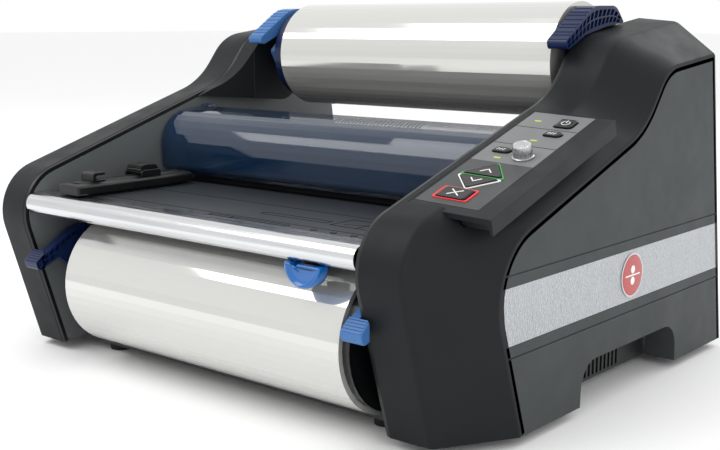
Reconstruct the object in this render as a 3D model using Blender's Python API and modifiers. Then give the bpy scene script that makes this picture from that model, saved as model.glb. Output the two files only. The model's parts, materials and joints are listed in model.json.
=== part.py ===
"""Desktop heated roll laminator: two side pods carry a feed table, a smoked heat shield, a driven pair of
heated rollers, a driven pair of pull rollers and two film supply rolls.

Frame: metres, +Z up, +X to the right as seen by the user, who stands at -Y. The origin is on the surface
that the feet rest on, under the middle of the machine.
"""

import math

import bmesh
import bpy
from mathutils import Matrix, Vector

# ---- Driving dimensions -------------------------------------------------------------------------------
PANEL_X = 0.274            # outer face of a side panel
INNER_X = 0.2004           # inner edge of a pod's fascia
CREASE_X = 0.2386          # where the fascia's top facet turns down into its chamfer
POD_Z = 0.008              # underside of the pods
REAR_Y = 0.2311            # rear of the pods at POD_Z
REAR_LEAN = 0.163          # how far the pods' rear leans forward for each metre up
REAR_RADIUS = 0.0035
SHELL = 0.0025             # wall thickness of the moulded shells
GAP = 0.0003               # clearance between touching pieces

WALL_X = 0.1975            # inner face of a side wall
WALL_THICKNESS = 0.0022
BAY_X = 0.1962             # half width of what fits between the side walls
COVER_Y = 0.2190           # face of the rear cover, which leans with the pods above COVER_BEND_Z
COVER_BEND_Z, CHUTE_Z = 0.0660, 0.1500
INLET_Y = 0.2255           # rear of the mains socket's surround

# Corner points of a pod's outline at three stations across it: (y, z, corner radius).
INNER_OUTLINE = ((-0.1899, POD_Z), (-0.2375, 0.1642, 0.045), (0.0258, 0.2510, 0.085),
                 (0.0637, 0.2984, 0.050))
CREASE_OUTLINE = ((-0.1891, POD_Z), (-0.2360, 0.1643, 0.046), (0.0254, 0.2480, 0.085),
                  (0.0631, 0.2953, 0.050))
PANEL_OUTLINE = ((-0.1271, POD_Z), (-0.1750, 0.1469, 0.057), (0.0526, 0.2232, 0.085),
                 (0.0928, 0.2728, 0.045))
INNER_TOP_Z, CREASE_TOP_Z, PANEL_TOP_Z = 0.3144, 0.3111, 0.2826

NIP_Z = 0.1555             # height of the film path
MODULE = 0.002             # of every gear
HEAT_TEETH, PULL_TEETH, IDLER_TEETH, PINION_TEETH = 23, 18, 28, 12
HEAT_Y, PULL_Y = -0.016, 0.075
HEAT_R, PULL_R = 0.0225, 0.0175
HEAT_HALF = MODULE * HEAT_TEETH / 2
PULL_HALF = MODULE * PULL_TEETH / 2
HEAT_JOURNAL_R, HEAT_BORE_R, PULL_JOURNAL_R = 0.009, 0.0055, 0.006
FACE_X = 0.190             # half length of a roller's face
GEAR_X = (0.2050, 0.2130)
BEARING_X = (0.1952, 0.2018)
PINION_ANGLE = math.radians(-120)

CORE_R, CORE_BORE_R = 0.0190, 0.0125
GUDGEON_R = 0.0120
UPPER_ROLL = (0.0988, 0.2765, 0.0520)      # y, z, film radius
LOWER_ROLL = (-0.1632, 0.0760, 0.0600)
UPPER_FILM_X, LOWER_FILM_X = (-0.1355, 0.1860), (-0.1455, 0.1800)
UPPER_ENDS = ((-0.1505, 0.0455), (0.1875, 0.0300))     # end of the core and radius of its flange: left, right
LOWER_ENDS = ((-0.1520, 0.0280), (0.1868, 0.0560))
LEVER_WIDTH = 0.019
LEVER_X_RIGHT, LEVER_X_UPPER_LEFT, LEVER_X_LOWER_LEFT = 0.1885, -0.1536, -0.1765
LEVER_PIN = (0.0465, 0.0215)       # an upper lever's hinge, from its roll's axis
HOUSING_X = -0.1780

TABLE_Z = 0.1550
TABLE_Y = (-0.1975, -0.0660)
LIP_Y, LIP_Z, LIP_R = -0.2162, 0.1465, 0.0095

SHIELD_HINGE = (-0.0080, 0.2225)
SHIELD_X = 0.1945
SHIELD_WALL = 0.0030
SHIELD_OUTLINE = ((-0.0120, 0.2245), (-0.0685, 0.2190, 0.035), (-0.0652, 0.1660, 0.006),
                  (-0.0557, 0.1598))

CONSOLE_SLOPE = math.radians(18.26)
CONSOLE_TILT = math.radians(3.07)
CONSOLE_ORIGIN = Vector((0.2004, -0.1740, 0.1851))
CONSOLE_U = (0.0068, 0.0800)       # across the console
CONSOLE_V = (-0.0085, 0.1715)      # up its slope
CONSOLE_DEPTH = 0.0125
LABEL_U = (0.0085, 0.0632)
LABEL_SPLIT_V = 0.0747
LABEL_DEPTH = 0.0008
BUTTON_RISE = 0.0016
BUTTON_ROOT = -0.0085

STRIP_Z = (0.0805, 0.1245)
BADGE_Y, BADGE_Z, BADGE_R = 0.0408, 0.1025, 0.0187
ARCH = ((0.1322, POD_Z), (0.1285, 0.0437, 0.022), (-0.0365, 0.0438, 0.022), (-0.0402, POD_Z))
RECESS_X = 0.2452
PAN_X, PAN_Y, PAN_TOP_Z = 0.2435, (-0.1610, 0.2130), 0.0600
SHEET = 0.0015

SEGMENTS = 32
PARTS = None
CUTTERS = None


# ---- Making shapes ------------------------------------------------------------------------------------
def clear_scene():
    for obj in list(bpy.data.objects):
        bpy.data.objects.remove(obj, do_unlink=True)


def new_collection(name):
    collection = bpy.data.collections.new(name)
    bpy.context.scene.collection.children.link(collection)
    return collection


def material(name, colour, roughness, metallic=0.0, alpha=1.0):
    mat = bpy.data.materials.new(name)
    mat.use_nodes = True
    shader = mat.node_tree.nodes["Principled BSDF"]
    shader.inputs["Base Color"].default_value = (*colour, 1.0)
    shader.inputs["Roughness"].default_value = roughness
    shader.inputs["Metallic"].default_value = metallic
    shader.inputs["Alpha"].default_value = alpha
    mat.diffuse_color = (*colour, alpha)
    return mat


def keep(name, mesh, look, location=(0.0, 0.0, 0.0)):
    """A piece of the machine: its mesh is given in world space, and its origin moves to location."""
    mesh.name = name
    mesh.transform(Matrix.Translation(-Vector(location)))
    mesh.materials.clear()
    mesh.materials.append(material(name, *look))
    obj = bpy.data.objects.new(name, mesh)
    obj.location = location
    PARTS.objects.link(obj)
    return obj


def rounded(corners, steps=6, closed=True):
    """Points of an outline whose corners are (a, b) or (a, b, radius)."""
    points = []
    last = len(corners) - 1
    for i, corner in enumerate(corners):
        here = Vector(corner[:2])
        if len(corner) < 3 or (not closed and i in (0, last)):
            points.append(here)
            continue
        before = (Vector(corners[i - 1][:2]) - here).normalized()
        after = (Vector(corners[(i + 1) % len(corners)][:2]) - here).normalized()
        half = before.angle(after) / 2
        centre = here + (before + after).normalized() * corner[2] / math.sin(half)
        start = here + before * corner[2] / math.tan(half) - centre
        end = here + after * corner[2] / math.tan(half) - centre
        first = math.atan2(start.y, start.x)
        turn = (math.atan2(end.y, end.x) - first + math.pi) % math.tau - math.pi
        points += [centre + corner[2] * Vector((math.cos(first + turn * k / steps),
                                                math.sin(first + turn * k / steps)))
                   for k in range(steps + 1)]
    return points


def offset(path, distance):
    """An open path moved to its right by distance."""
    moved = []
    for i, point in enumerate(path):
        along = (path[min(i + 1, len(path) - 1)] - path[max(i - 1, 0)]).normalized()
        moved.append(point + Vector((along.y, -along.x)) * distance)
    return moved


def circle(a, b, radius, steps=SEGMENTS):
    return [Vector((a + radius * math.cos(math.tau * k / steps), b + radius * math.sin(math.tau * k / steps)))
            for k in range(steps)]


def rectangle(a_low, a_high, b_low, b_high):
    return [Vector(p) for p in ((a_low, b_low), (a_high, b_low), (a_high, b_high), (a_low, b_high))]


ACROSS = {
    "x": Matrix(((0, 0, 1, 0), (1, 0, 0, 0), (0, 1, 0, 0), (0, 0, 0, 1))),
    "y": Matrix(((1, 0, 0, 0), (0, 0, -1, 0), (0, 1, 0, 0), (0, 0, 0, 1))),
    "z": Matrix.Identity(4),
}


def plate_mesh(outline, low, high, axis="x", holes=()):
    """A flat outline given thickness from low to high along an axis. Its two coordinates are (y, z) across
    x, (x, z) across y and (x, y) across z."""
    curve = bpy.data.curves.new("outline", "CURVE")
    curve.dimensions = "2D"
    curve.fill_mode = "BOTH"
    curve.extrude = (high - low) / 2
    for loop in (outline, *holes):
        spline = curve.splines.new("POLY")
        spline.points.add(len(loop) - 1)
        spline.use_cyclic_u = True
        for point, place in zip(spline.points, loop):
            point.co = (place[0], place[1], 0.0, 1.0)
    guide = bpy.data.objects.new("outline", curve)
    bpy.context.scene.collection.objects.link(guide)
    graph = bpy.context.evaluated_depsgraph_get()
    mesh = bpy.data.meshes.new_from_object(guide.evaluated_get(graph))
    bpy.data.objects.remove(guide, do_unlink=True)
    middle = (low + high) / 2 * (-1 if axis == "y" else 1)
    mesh.transform(ACROSS[axis] @ Matrix.Translation((0, 0, middle)))
    weld(mesh)
    return mesh


def weld(mesh):
    form = bmesh.new()
    form.from_mesh(mesh)
    bmesh.ops.remove_doubles(form, verts=form.verts, dist=1e-6)
    bmesh.ops.recalc_face_normals(form, faces=form.faces)
    form.to_mesh(mesh)
    form.free()


def box_mesh(low, high, bevel=0.0, segments=1):
    low, high = Vector(low), Vector(high)
    form = bmesh.new()
    size = Matrix.Diagonal((*(high - low), 1.0))
    bmesh.ops.create_cube(form, size=1.0, matrix=Matrix.Translation((low + high) / 2) @ size)
    if bevel:
        bmesh.ops.bevel(form, geom=form.edges, offset=bevel, segments=segments, affect="EDGES", profile=0.5)
    mesh = bpy.data.meshes.new("box")
    form.to_mesh(mesh)
    form.free()
    return mesh


def merged(*meshes):
    """One mesh that holds several, which stay separate solids."""
    form = bmesh.new()
    for mesh in meshes:
        form.from_mesh(mesh)
        bpy.data.meshes.remove(mesh)
    mesh = bpy.data.meshes.new("group")
    form.to_mesh(mesh)
    form.free()
    return mesh


def combined(first, others, operation):
    """The first mesh joined with, or cut by, each of the others."""
    body = bpy.data.objects.new("body", first)
    bpy.context.scene.collection.objects.link(body)
    tools = []
    for mesh in others:
        tool = bpy.data.objects.new("tool", mesh)
        CUTTERS.objects.link(tool)
        tools.append(tool)
        step = body.modifiers.new("step", "BOOLEAN")
        step.operation = operation
        step.solver = "EXACT"
        step.object = tool
    graph = bpy.context.evaluated_depsgraph_get()
    mesh = bpy.data.meshes.new_from_object(body.evaluated_get(graph))
    for obj in (body, *tools):
        bpy.data.objects.remove(obj, do_unlink=True)
    return mesh


def union(first, *others):
    return combined(first, others, "UNION")


def cut(first, *others):
    return combined(first, others, "DIFFERENCE")


def cutter(name, mesh):
    obj = bpy.data.objects.new(name, mesh)
    obj.hide_render = True
    obj.display_type = "WIRE"
    CUTTERS.objects.link(obj)
    return obj


def carve(obj, tool):
    """Cuts obj by a tool that stays in the file as a guide."""
    step = obj.modifiers.new("cut", "BOOLEAN")
    step.operation = "DIFFERENCE"
    step.solver = "EXACT"
    step.object = tool


def turned(name, profile, axis_at, look, steps=SEGMENTS):
    """A piece turned about a line along x through axis_at, from its (radius, x) profile. The profile runs
    from high x to low x along its outer side, and a profile that leaves the axis is a closed ring."""
    mesh = bpy.data.meshes.new(name)
    points = [(radius, 0.0, along) for radius, along in profile]
    edges = [(i, i + 1) for i in range(len(points) - 1)]
    if profile[0][0] > 0:
        edges.append((len(points) - 1, 0))
    mesh.from_pydata(points, edges, [])
    mesh.materials.append(material(name, *look))
    obj = bpy.data.objects.new(name, mesh)
    PARTS.objects.link(obj)
    obj.location = (0.0, *axis_at)
    obj.rotation_euler = (0.0, math.pi / 2, 0.0)
    screw = obj.modifiers.new("turn", "SCREW")
    screw.steps = screw.render_steps = steps
    screw.axis = "Z"
    screw.angle = math.tau
    screw.use_merge_vertices = True
    screw.merge_threshold = 0.00005
    screw.use_smooth_shade = False
    screw.use_normal_calculate = False
    return obj


def rod_mesh(y, z, radius, low, high, steps=16):
    return plate_mesh(circle(y, z, radius, steps), low, high)


def mirrored(mesh):
    """A copy on the other side of the machine."""
    copy = mesh.copy()
    copy.transform(Matrix.Diagonal((-1, 1, 1, 1)))
    copy.flip_normals()
    return copy


# ---- Looks: colour, roughness, metallic, alpha --------------------------------------------------------
CHARCOAL = ((0.032, 0.036, 0.038), 0.55)
PANEL_GREY = ((0.100, 0.105, 0.108), 0.55)
WALL_GREY = ((0.150, 0.155, 0.160), 0.50)
BLACK = ((0.010, 0.010, 0.011), 0.45)
GLOSS_BLACK = ((0.008, 0.008, 0.009), 0.15)
SILVER = ((0.72, 0.73, 0.74), 0.35, 1.0)
STEEL = ((0.55, 0.56, 0.58), 0.28, 1.0)
ZINC = ((0.48, 0.49, 0.50), 0.45, 1.0)
ALUMINIUM = ((0.80, 0.81, 0.82), 0.25, 1.0)
TABLE_GREY = ((0.095, 0.100, 0.108), 0.40)
RUBBER = ((0.015, 0.015, 0.016), 0.80)
SILICONE = ((0.045, 0.045, 0.050), 0.45)
NYLON = ((0.72, 0.70, 0.64), 0.50)
FILM = ((0.86, 0.87, 0.86), 0.10)
NAVY = ((0.010, 0.022, 0.090), 0.40)
LIGHT_BLUE = ((0.150, 0.330, 0.720), 0.40)
BRIGHT_BLUE = ((0.005, 0.110, 0.480), 0.30)
SMOKE = ((0.020, 0.060, 0.110), 0.08, 0.0, 0.45)
LABEL_LIGHT = ((0.250, 0.255, 0.260), 0.45)
LABEL_DARK = ((0.130, 0.133, 0.136), 0.45)
CONSOLE_GREY = ((0.060, 0.064, 0.067), 0.50)
RED = ((0.620, 0.020, 0.025), 0.25)
BOARD_GREEN = ((0.010, 0.120, 0.040), 0.50)


# ---- Pods ---------------------------------------------------------------------------------------------
def rear_y(z):
    return REAR_Y - REAR_LEAN * (z - POD_Z)


def cover_y(z):
    """The rear cover's face at a height over its bend."""
    return COVER_Y - REAR_LEAN * (z - COVER_BEND_Z)


def pod_path(corners, top_z, steps=8):
    """A pod's outline from its front foot over the top to its rear foot."""
    top = (rear_y(top_z), top_z, REAR_RADIUS)
    return rounded((*corners, top, (REAR_Y, POD_Z)), steps, closed=False)


def fascia(side):
    """The moulded band that wraps a pod from its front foot, over the top, to its rear foot."""
    stations = ((INNER_X, pod_path(INNER_OUTLINE, INNER_TOP_Z)),
                (CREASE_X, pod_path(CREASE_OUTLINE, CREASE_TOP_Z)),
                (PANEL_X, pod_path(PANEL_OUTLINE, PANEL_TOP_Z)))
    form = bmesh.new()
    rows = [[form.verts.new((side * x, *point)) for point in path] for x, path in stations]
    for row, beyond in zip(rows, rows[1:]):
        for i in range(len(row) - 1):
            corners = (row[i], beyond[i], beyond[i + 1], row[i + 1])
            form.faces.new(corners if side > 0 else corners[::-1])
    mesh = bpy.data.meshes.new("fascia")
    form.to_mesh(mesh)
    form.free()
    obj = keep("right_fascia" if side > 0 else "left_fascia", mesh, CHARCOAL)
    wall = obj.modifiers.new("wall", "SOLIDIFY")
    wall.thickness = SHELL
    wall.offset = -1.0
    wall.use_even_offset = True
    return obj


def side_panel_mesh():
    """A pod's outer panel, moulded in one with the liner of the hand grip under it."""
    path = offset(pod_path(PANEL_OUTLINE, PANEL_TOP_Z), SHELL + 0.0006)
    path[0].y = path[-1].y = POD_Z
    arch = rounded(ARCH, 6, closed=False)
    liner = offset(arch, SHEET)
    liner[0].y = liner[-1].y = POD_Z
    hand = [Vector(p) for p in arch]
    hand[0].y = hand[-1].y = POD_Z - 0.02
    low, high = STRIP_Z
    groove = 0.0008
    ends = (-0.25, 0.25)
    return cut(
        union(plate_mesh(path, PANEL_X - SHELL, PANEL_X), plate_mesh(liner, RECESS_X, PANEL_X - 0.0010)),
        plate_mesh(hand, RECESS_X - 0.01, PANEL_X + 0.01),
        box_mesh((PANEL_X - 0.0013, ends[0], low), (PANEL_X + 0.01, ends[1], high)),
        box_mesh((PANEL_X - groove, ends[0], low - 0.0095), (PANEL_X + 0.01, ends[1], low - 0.0082)),
        box_mesh((PANEL_X - groove, ends[0], high + 0.0082), (PANEL_X + 0.01, ends[1], high + 0.0095)),
    )


def path_crossing(path, z, last=False):
    """Where a path crosses a height, for the first or the last time."""
    found = [a.x + (b.x - a.x) * (z - a.y) / (b.y - a.y)
             for a, b in zip(path, path[1:]) if (a.y - z) * (b.y - z) <= 0 and a.y != b.y]
    return found[-1] if last else found[0]


def strip_mesh():
    low, high = STRIP_Z[0] + GAP, STRIP_Z[1] - GAP
    path = offset(pod_path(PANEL_OUTLINE, PANEL_TOP_Z), SHELL + 0.0008)
    corners = [(path_crossing(path, low), low), (path_crossing(path, low, True), low),
               (path_crossing(path, high, True), high), (path_crossing(path, high), high)]
    return plate_mesh([Vector(c) for c in corners], PANEL_X - 0.0010, PANEL_X - 0.0001)


def side_wall_mesh(side):
    """A steel side plate with its bearing bosses and the stub shafts that it carries."""
    path = offset(pod_path(INNER_OUTLINE, INNER_TOP_Z), 0.0045)
    front = [p for p in path if p.x < 0.165 and p.y > 0.02]
    last, beyond = front[-1], path[path.index(front[-1]) + 1]
    front.append(last.lerp(beyond, (0.1640 - last.x) / (beyond.x - last.x)))
    base_z = 0.0106
    foot = Vector((path_crossing(path, base_z), base_z))
    edge = COVER_Y + 0.0010
    rear = rounded(((0.1640, 0.31), (0.1660, 0.2720, 0.010), (cover_y(0.2440) + 0.0010, 0.2440, 0.020),
                    (edge, COVER_BEND_Z), (edge, base_z)), 5, closed=False)[1:]
    plate = plate_mesh([foot, *front, *rear], WALL_X, WALL_X + WALL_THICKNESS)
    inside = WALL_X + WALL_THICKNESS - 0.0005
    bosses, bores = [], []
    for half, y, journal, boss in ((HEAT_HALF, HEAT_Y, HEAT_JOURNAL_R, 0.0135),
                                   (PULL_HALF, PULL_Y, PULL_JOURNAL_R, 0.0105)):
        for z in (NIP_Z - half, NIP_Z + half):
            bosses.append(rod_mesh(y, z, boss, *BEARING_X, 20))
            bores.append(rod_mesh(y, z, journal + GAP, 0.15, 0.25, 20))
    right = side > 0
    lower_reach, pin_reach = (0.1760, LEVER_X_RIGHT) if right else (0.1400, -LEVER_X_UPPER_LEFT)
    stubs = [rod_mesh(*SHIELD_HINGE, 0.0019, 0.1860, inside, 12),
             rod_mesh(*LOWER_ROLL[:2], GUDGEON_R, lower_reach, inside, 24),
             rod_mesh(UPPER_ROLL[0] + LEVER_PIN[0], UPPER_ROLL[1] + LEVER_PIN[1], 0.0023, pin_reach, inside, 12)]
    if right:
        stubs.append(rod_mesh(*UPPER_ROLL[:2], GUDGEON_R, 0.1760, inside, 24))
        stubs.append(rod_mesh(*drive_layout()["idler_gear"][0], 0.0037, WALL_X + 0.0005, 0.2150, 14))
    return cut(union(plate, *bosses, *stubs), *bores)


def pods():
    fascia(-1)
    right = fascia(1)
    carve(right, cutter("console_opening", console_box(
        (CONSOLE_U[0] - GAP, CONSOLE_U[1] + 0.03), (CONSOLE_V[0] - GAP, CONSOLE_V[1] + GAP),
        (-CONSOLE_DEPTH - GAP, 0.03))))
    panel = side_panel_mesh()
    keep("left_side_panel", mirrored(panel), PANEL_GREY)
    keep("right_side_panel", panel, PANEL_GREY)
    strip = strip_mesh()
    keep("left_side_strip", mirrored(strip), SILVER)
    keep("right_side_strip", strip, SILVER)
    badge = plate_mesh(circle(BADGE_Y, BADGE_Z, BADGE_R, 40), PANEL_X + 0.0002, PANEL_X + 0.0010)
    keep("left_side_badge", mirrored(badge), RED)
    keep("right_side_badge", badge, RED)
    keep("left_side_wall", mirrored(side_wall_mesh(-1)), WALL_GREY)
    keep("right_side_wall", side_wall_mesh(1), WALL_GREY)


# ---- Base, rear and table -----------------------------------------------------------------------------
def base():
    top, low = POD_Z + 0.0020, POD_Z + 0.0005
    inside = PAN_X - SHEET
    profile = [(-PAN_X, low), (PAN_X, low), (PAN_X, PAN_TOP_Z), (inside, PAN_TOP_Z), (inside, top),
               (-inside, top), (-inside, PAN_TOP_Z), (-PAN_X, PAN_TOP_Z)]
    pan = plate_mesh(profile, *PAN_Y, axis="y")
    bar = box_mesh((-BAY_X, PAN_Y[0] - 0.0040, low), (BAY_X, PAN_Y[0] + 0.0010, 0.0128))
    slots = merged(*[box_mesh((side * PAN_X - 0.003, y, 0.0112), (side * PAN_X + 0.003, y + 0.0036, 0.0480))
                     for side in (-1, 1) for y in [0.0136 + 0.0069 * k for k in range(10)]])
    keep("base_pan", cut(union(pan, bar), slots), BLACK)
    for name, x, y in (("front_left_foot", -0.165, -0.148), ("front_right_foot", 0.165, -0.148),
                       ("rear_left_foot", -0.165, 0.192), ("rear_right_foot", 0.165, 0.192)):
        keep(name, plate_mesh(circle(x, y, 0.0105, 20), 0.0, low - GAP, axis="z"), RUBBER)


def rear():
    """The rear cover turns forward at its top into the chute under the exit slot; the hood is over it."""
    thick = 0.0020
    top_y, hood_y = cover_y(CHUTE_Z), cover_y(0.1690)
    cover = [(COVER_Y, 0.0106), (COVER_Y, COVER_BEND_Z), (top_y, CHUTE_Z), (0.1000, CHUTE_Z), (0.1000, CHUTE_Z - thick),
             (top_y - thick, CHUTE_Z - thick), (COVER_Y - thick, COVER_BEND_Z), (COVER_Y - thick, 0.0106)]
    vents = merged(*[box_mesh((x, 0.19, z), (x + 0.022, 0.26, z + 0.0035))
                     for x in [-0.168 + 0.030 * k for k in range(6)] for z in [0.085 + 0.009 * k for k in range(5)]])
    inlet_hole = box_mesh((0.098, 0.18, 0.028), (0.1545, 0.26, 0.056))
    keep("rear_cover", cut(plate_mesh(cover, -BAY_X, BAY_X), vents, inlet_hole), CHARCOAL)
    outer = rounded(((0.0340, 0.2080), (0.1400, 0.2000, 0.10), (cover_y(0.1900), 0.1900, 0.012), (hood_y, 0.1690)),
                    6, closed=False)
    keep("rear_hood", plate_mesh(outer + offset(outer, thick)[::-1], -BAY_X, BAY_X), CHARCOAL)


def power_entry():
    """The mains socket and the rocker switch beside it, in one frame on the rear cover."""
    face = COVER_Y + 0.0003
    frame = box_mesh((0.0983, 0.1950, 0.0283), (0.1542, face - 0.0005, 0.0557))
    flange = box_mesh((0.0955, face - 0.0002, 0.0255), (0.1570, INLET_Y, 0.0585))
    socket = box_mesh((0.1020, face - 0.0180, 0.0320), (0.1290, face + 0.01, 0.0520))
    well = box_mesh((0.1330, face - 0.0140, 0.0320), (0.1510, face + 0.01, 0.0520))
    pins = [box_mesh((x, face - 0.0185, z), (x + 0.002, face - 0.0050, z + 0.006))
            for x, z in ((0.1085, 0.037), (0.1205, 0.037), (0.1145, 0.042))]
    neck = box_mesh((0.0990, face - 0.0010, 0.0290), (0.1535, face + 0.0002, 0.0550))
    keep("power_inlet", union(cut(union(frame, neck, flange), socket, well), *pins), BLACK)
    middle_y, middle_z = INLET_Y - 0.0075, 0.0420
    rocker = [(middle_y - 0.004, middle_z - 0.0085), (middle_y + 0.0042, middle_z - 0.0088),
              (middle_y + 0.0036, middle_z), (middle_y + 0.0070, middle_z + 0.0088),
              (middle_y - 0.004, middle_z + 0.0085)]
    keep("power_rocker", plate_mesh(rocker, 0.1335, 0.1505), GLOSS_BLACK, (0.142, middle_y, middle_z))


def table():
    drop, thick = 0.0130, 0.0020
    inside = BAY_X - thick
    profile = [(-BAY_X, TABLE_Z), (BAY_X, TABLE_Z), (BAY_X, TABLE_Z - drop), (inside, TABLE_Z - drop),
               (inside, TABLE_Z - thick), (-inside, TABLE_Z - thick), (-inside, TABLE_Z - drop),
               (-BAY_X, TABLE_Z - drop)]
    grooves = [box_mesh((-0.25, y - 0.0008, TABLE_Z - 0.0010), (0.25, y + 0.0008, TABLE_Z + 0.01))
               for y in (-0.1812, -0.1232)]
    holes = merged(*[plate_mesh(circle(x, -0.1895, 0.0018, 12), TABLE_Z - 0.01, TABLE_Z + 0.01, axis="z")
                     for x in (-0.012, 0.012, 0.036)])
    keep("feed_table", cut(plate_mesh(profile, *TABLE_Y, axis="y"), *grooves, holes), TABLE_GREY)
    keep("entry_guide", box_mesh((-FACE_X, TABLE_Y[1] + GAP, 0.1485), (FACE_X, -0.0420, 0.1528)), BLACK)
    back_y = TABLE_Y[0] - GAP
    lip = rounded(((LIP_Y - LIP_R, LIP_Z + LIP_R, LIP_R * 0.98), (LIP_Y - LIP_R, LIP_Z - LIP_R, LIP_R * 0.98),
                   (back_y, LIP_Z - LIP_R), (back_y, LIP_Z + LIP_R)), 7)
    keep("table_lip", plate_mesh(lip, -BAY_X, BAY_X), ALUMINIUM)


def guide():
    """The paper guide slides across the table; its thumb lever locks it."""
    x_low, x_high, base_z, top_z = -0.1680, -0.1380, TABLE_Z + 0.0018, TABLE_Z + 0.0118
    bar = plate_mesh(rounded(((x_low, base_z), (x_high, base_z), (x_high, top_z, 0.0025), (x_low, top_z, 0.0025)), 3),
                     -0.2105, -0.0750, axis="y")
    clip = box_mesh((-0.1640, -0.1880, top_z - 0.001), (-0.1460, -0.1740, top_z + 0.0075))
    ears = [box_mesh((x, -0.1340, top_z - 0.001), (x + 0.0020, -0.1120, top_z + 0.0060)) for x in (-0.1680, -0.1445)]
    keep("paper_guide", union(bar, clip, *ears), BLACK)
    axis_y, axis_z = -0.1180, top_z + 0.0040
    grip = rounded(((-0.1340, top_z + 0.0012, 0.001), (-0.1130, top_z + 0.0012, 0.002),
                    (-0.1130, top_z + 0.0110, 0.003), (-0.1340, top_z + 0.0105, 0.003)), 3)
    keep("guide_lock", plate_mesh(grip, -0.1656, -0.1449), BLACK, (-0.155, axis_y, axis_z))


def slitter():
    """The film slitter is a half-round grip with a notched top. It hangs under the lip and slides along it."""
    x, radius, top = 0.1450, 0.0183, LIP_Z - LIP_R - 0.0005
    arc = [(x + radius * math.cos(math.pi * k / 20), top - radius * math.sin(math.pi * k / 20)) for k in range(21)]
    notch = [(x - radius + 0.0065, top), (x - radius + 0.0090, top - 0.0045), (x - 0.0010, top - 0.0050),
             (x + 0.0010, top)]
    keep("film_slitter", plate_mesh([Vector(p) for p in (*arc, *notch)], -0.2250, -0.2125, axis="y"), BRIGHT_BLUE,
         (x, -0.2187, top))


# ---- Rollers and drive --------------------------------------------------------------------------------
def heat_roller(name, z):
    high, low = 0.2160, -0.2030
    profile = ((HEAT_JOURNAL_R, high), (HEAT_JOURNAL_R, FACE_X), (HEAT_R, FACE_X), (HEAT_R, -FACE_X),
               (HEAT_JOURNAL_R, -FACE_X), (HEAT_JOURNAL_R, low), (HEAT_BORE_R, low), (HEAT_BORE_R, high))
    turned(name, profile, (HEAT_Y, z), SILICONE, 40)


def pull_roller(name, z):
    high, low = 0.2160, -0.2030
    profile = ((0.0, high), (PULL_JOURNAL_R, high), (PULL_JOURNAL_R, FACE_X), (PULL_R, FACE_X), (PULL_R, -FACE_X),
               (PULL_JOURNAL_R, -FACE_X), (PULL_JOURNAL_R, low), (0.0, low))
    turned(name, profile, (PULL_Y, z), RUBBER, 36)


def involute(angle):
    return math.tan(angle) - angle


def gear_outline(centre, teeth, phase):
    """Straight-flanked teeth whose corners lie on the involutes of a 20 degree gear, with backlash."""
    pitch, pressure, backlash = MODULE * teeth / 2, math.radians(20), 0.00015
    base, tip, root = pitch * math.cos(pressure), pitch + 0.85 * MODULE, pitch - 1.1 * MODULE
    at_pitch = math.pi / (2 * teeth) - backlash / pitch

    def half_angle(radius):
        here = math.acos(min(1.0, base / radius))
        return at_pitch + involute(pressure) - involute(here)

    corners = ((root, -half_angle(max(root, base))), (tip, -half_angle(tip)), (tip, half_angle(tip)),
               (root, half_angle(max(root, base))))
    return [Vector((centre[0] + r * math.cos(a), centre[1] + r * math.sin(a)))
            for k in range(teeth) for r, turn in corners
            for a in [phase + math.tau * k / teeth + turn]]


def meshed(driver, teeth, angle_or_centre):
    """Centre and phase of a gear in mesh with the driver, which is (centre, teeth, phase)."""
    centre, driver_teeth, phase = driver
    if isinstance(angle_or_centre, Vector):
        other = angle_or_centre
        angle = math.atan2(other.y - centre.y, other.x - centre.x)
    else:
        angle = angle_or_centre
        reach = MODULE * (driver_teeth + teeth) / 2
        other = centre + reach * Vector((math.cos(angle), math.sin(angle)))
    lead = (phase - angle) * driver_teeth / teeth
    return other, teeth, angle + math.pi - lead + math.pi / teeth


def idler_centre(one, two):
    """The lower point at meshing distance from both gears."""
    reach_one = MODULE * (one[1] + IDLER_TEETH) / 2
    reach_two = MODULE * (two[1] + IDLER_TEETH) / 2
    line = two[0] - one[0]
    along = (reach_one ** 2 - reach_two ** 2 + line.length ** 2) / (2 * line.length)
    down = math.sqrt(reach_one ** 2 - along ** 2)
    unit = line.normalized()
    return one[0] + along * unit + down * Vector((unit.y, -unit.x))


def gear(name, placed, bore, look=NYLON):
    centre, teeth, phase = placed
    mesh = plate_mesh(gear_outline(centre, teeth, phase), *GEAR_X, holes=(circle(*centre, bore, 16),))
    keep(name, mesh, look, (0.0, *centre))


def drive_layout():
    """Each gear's centre, teeth and phase, by name."""
    lower = (Vector((HEAT_Y, NIP_Z - HEAT_HALF)), HEAT_TEETH, 0.0)
    upper = meshed(lower, HEAT_TEETH, Vector((HEAT_Y, NIP_Z + HEAT_HALF)))
    pull_at = Vector((PULL_Y, NIP_Z - PULL_HALF))
    idler = meshed(lower, IDLER_TEETH, idler_centre(lower, (pull_at, PULL_TEETH, 0.0)))
    lower_pull = meshed(idler, PULL_TEETH, pull_at)
    upper_pull = meshed(lower_pull, PULL_TEETH, Vector((PULL_Y, NIP_Z + PULL_HALF)))
    pinion = meshed(lower, PINION_TEETH, PINION_ANGLE)
    return {"lower_heat_gear": lower, "upper_heat_gear": upper, "lower_pull_gear": lower_pull,
            "upper_pull_gear": upper_pull, "idler_gear": idler, "motor_pinion": pinion}


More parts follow.
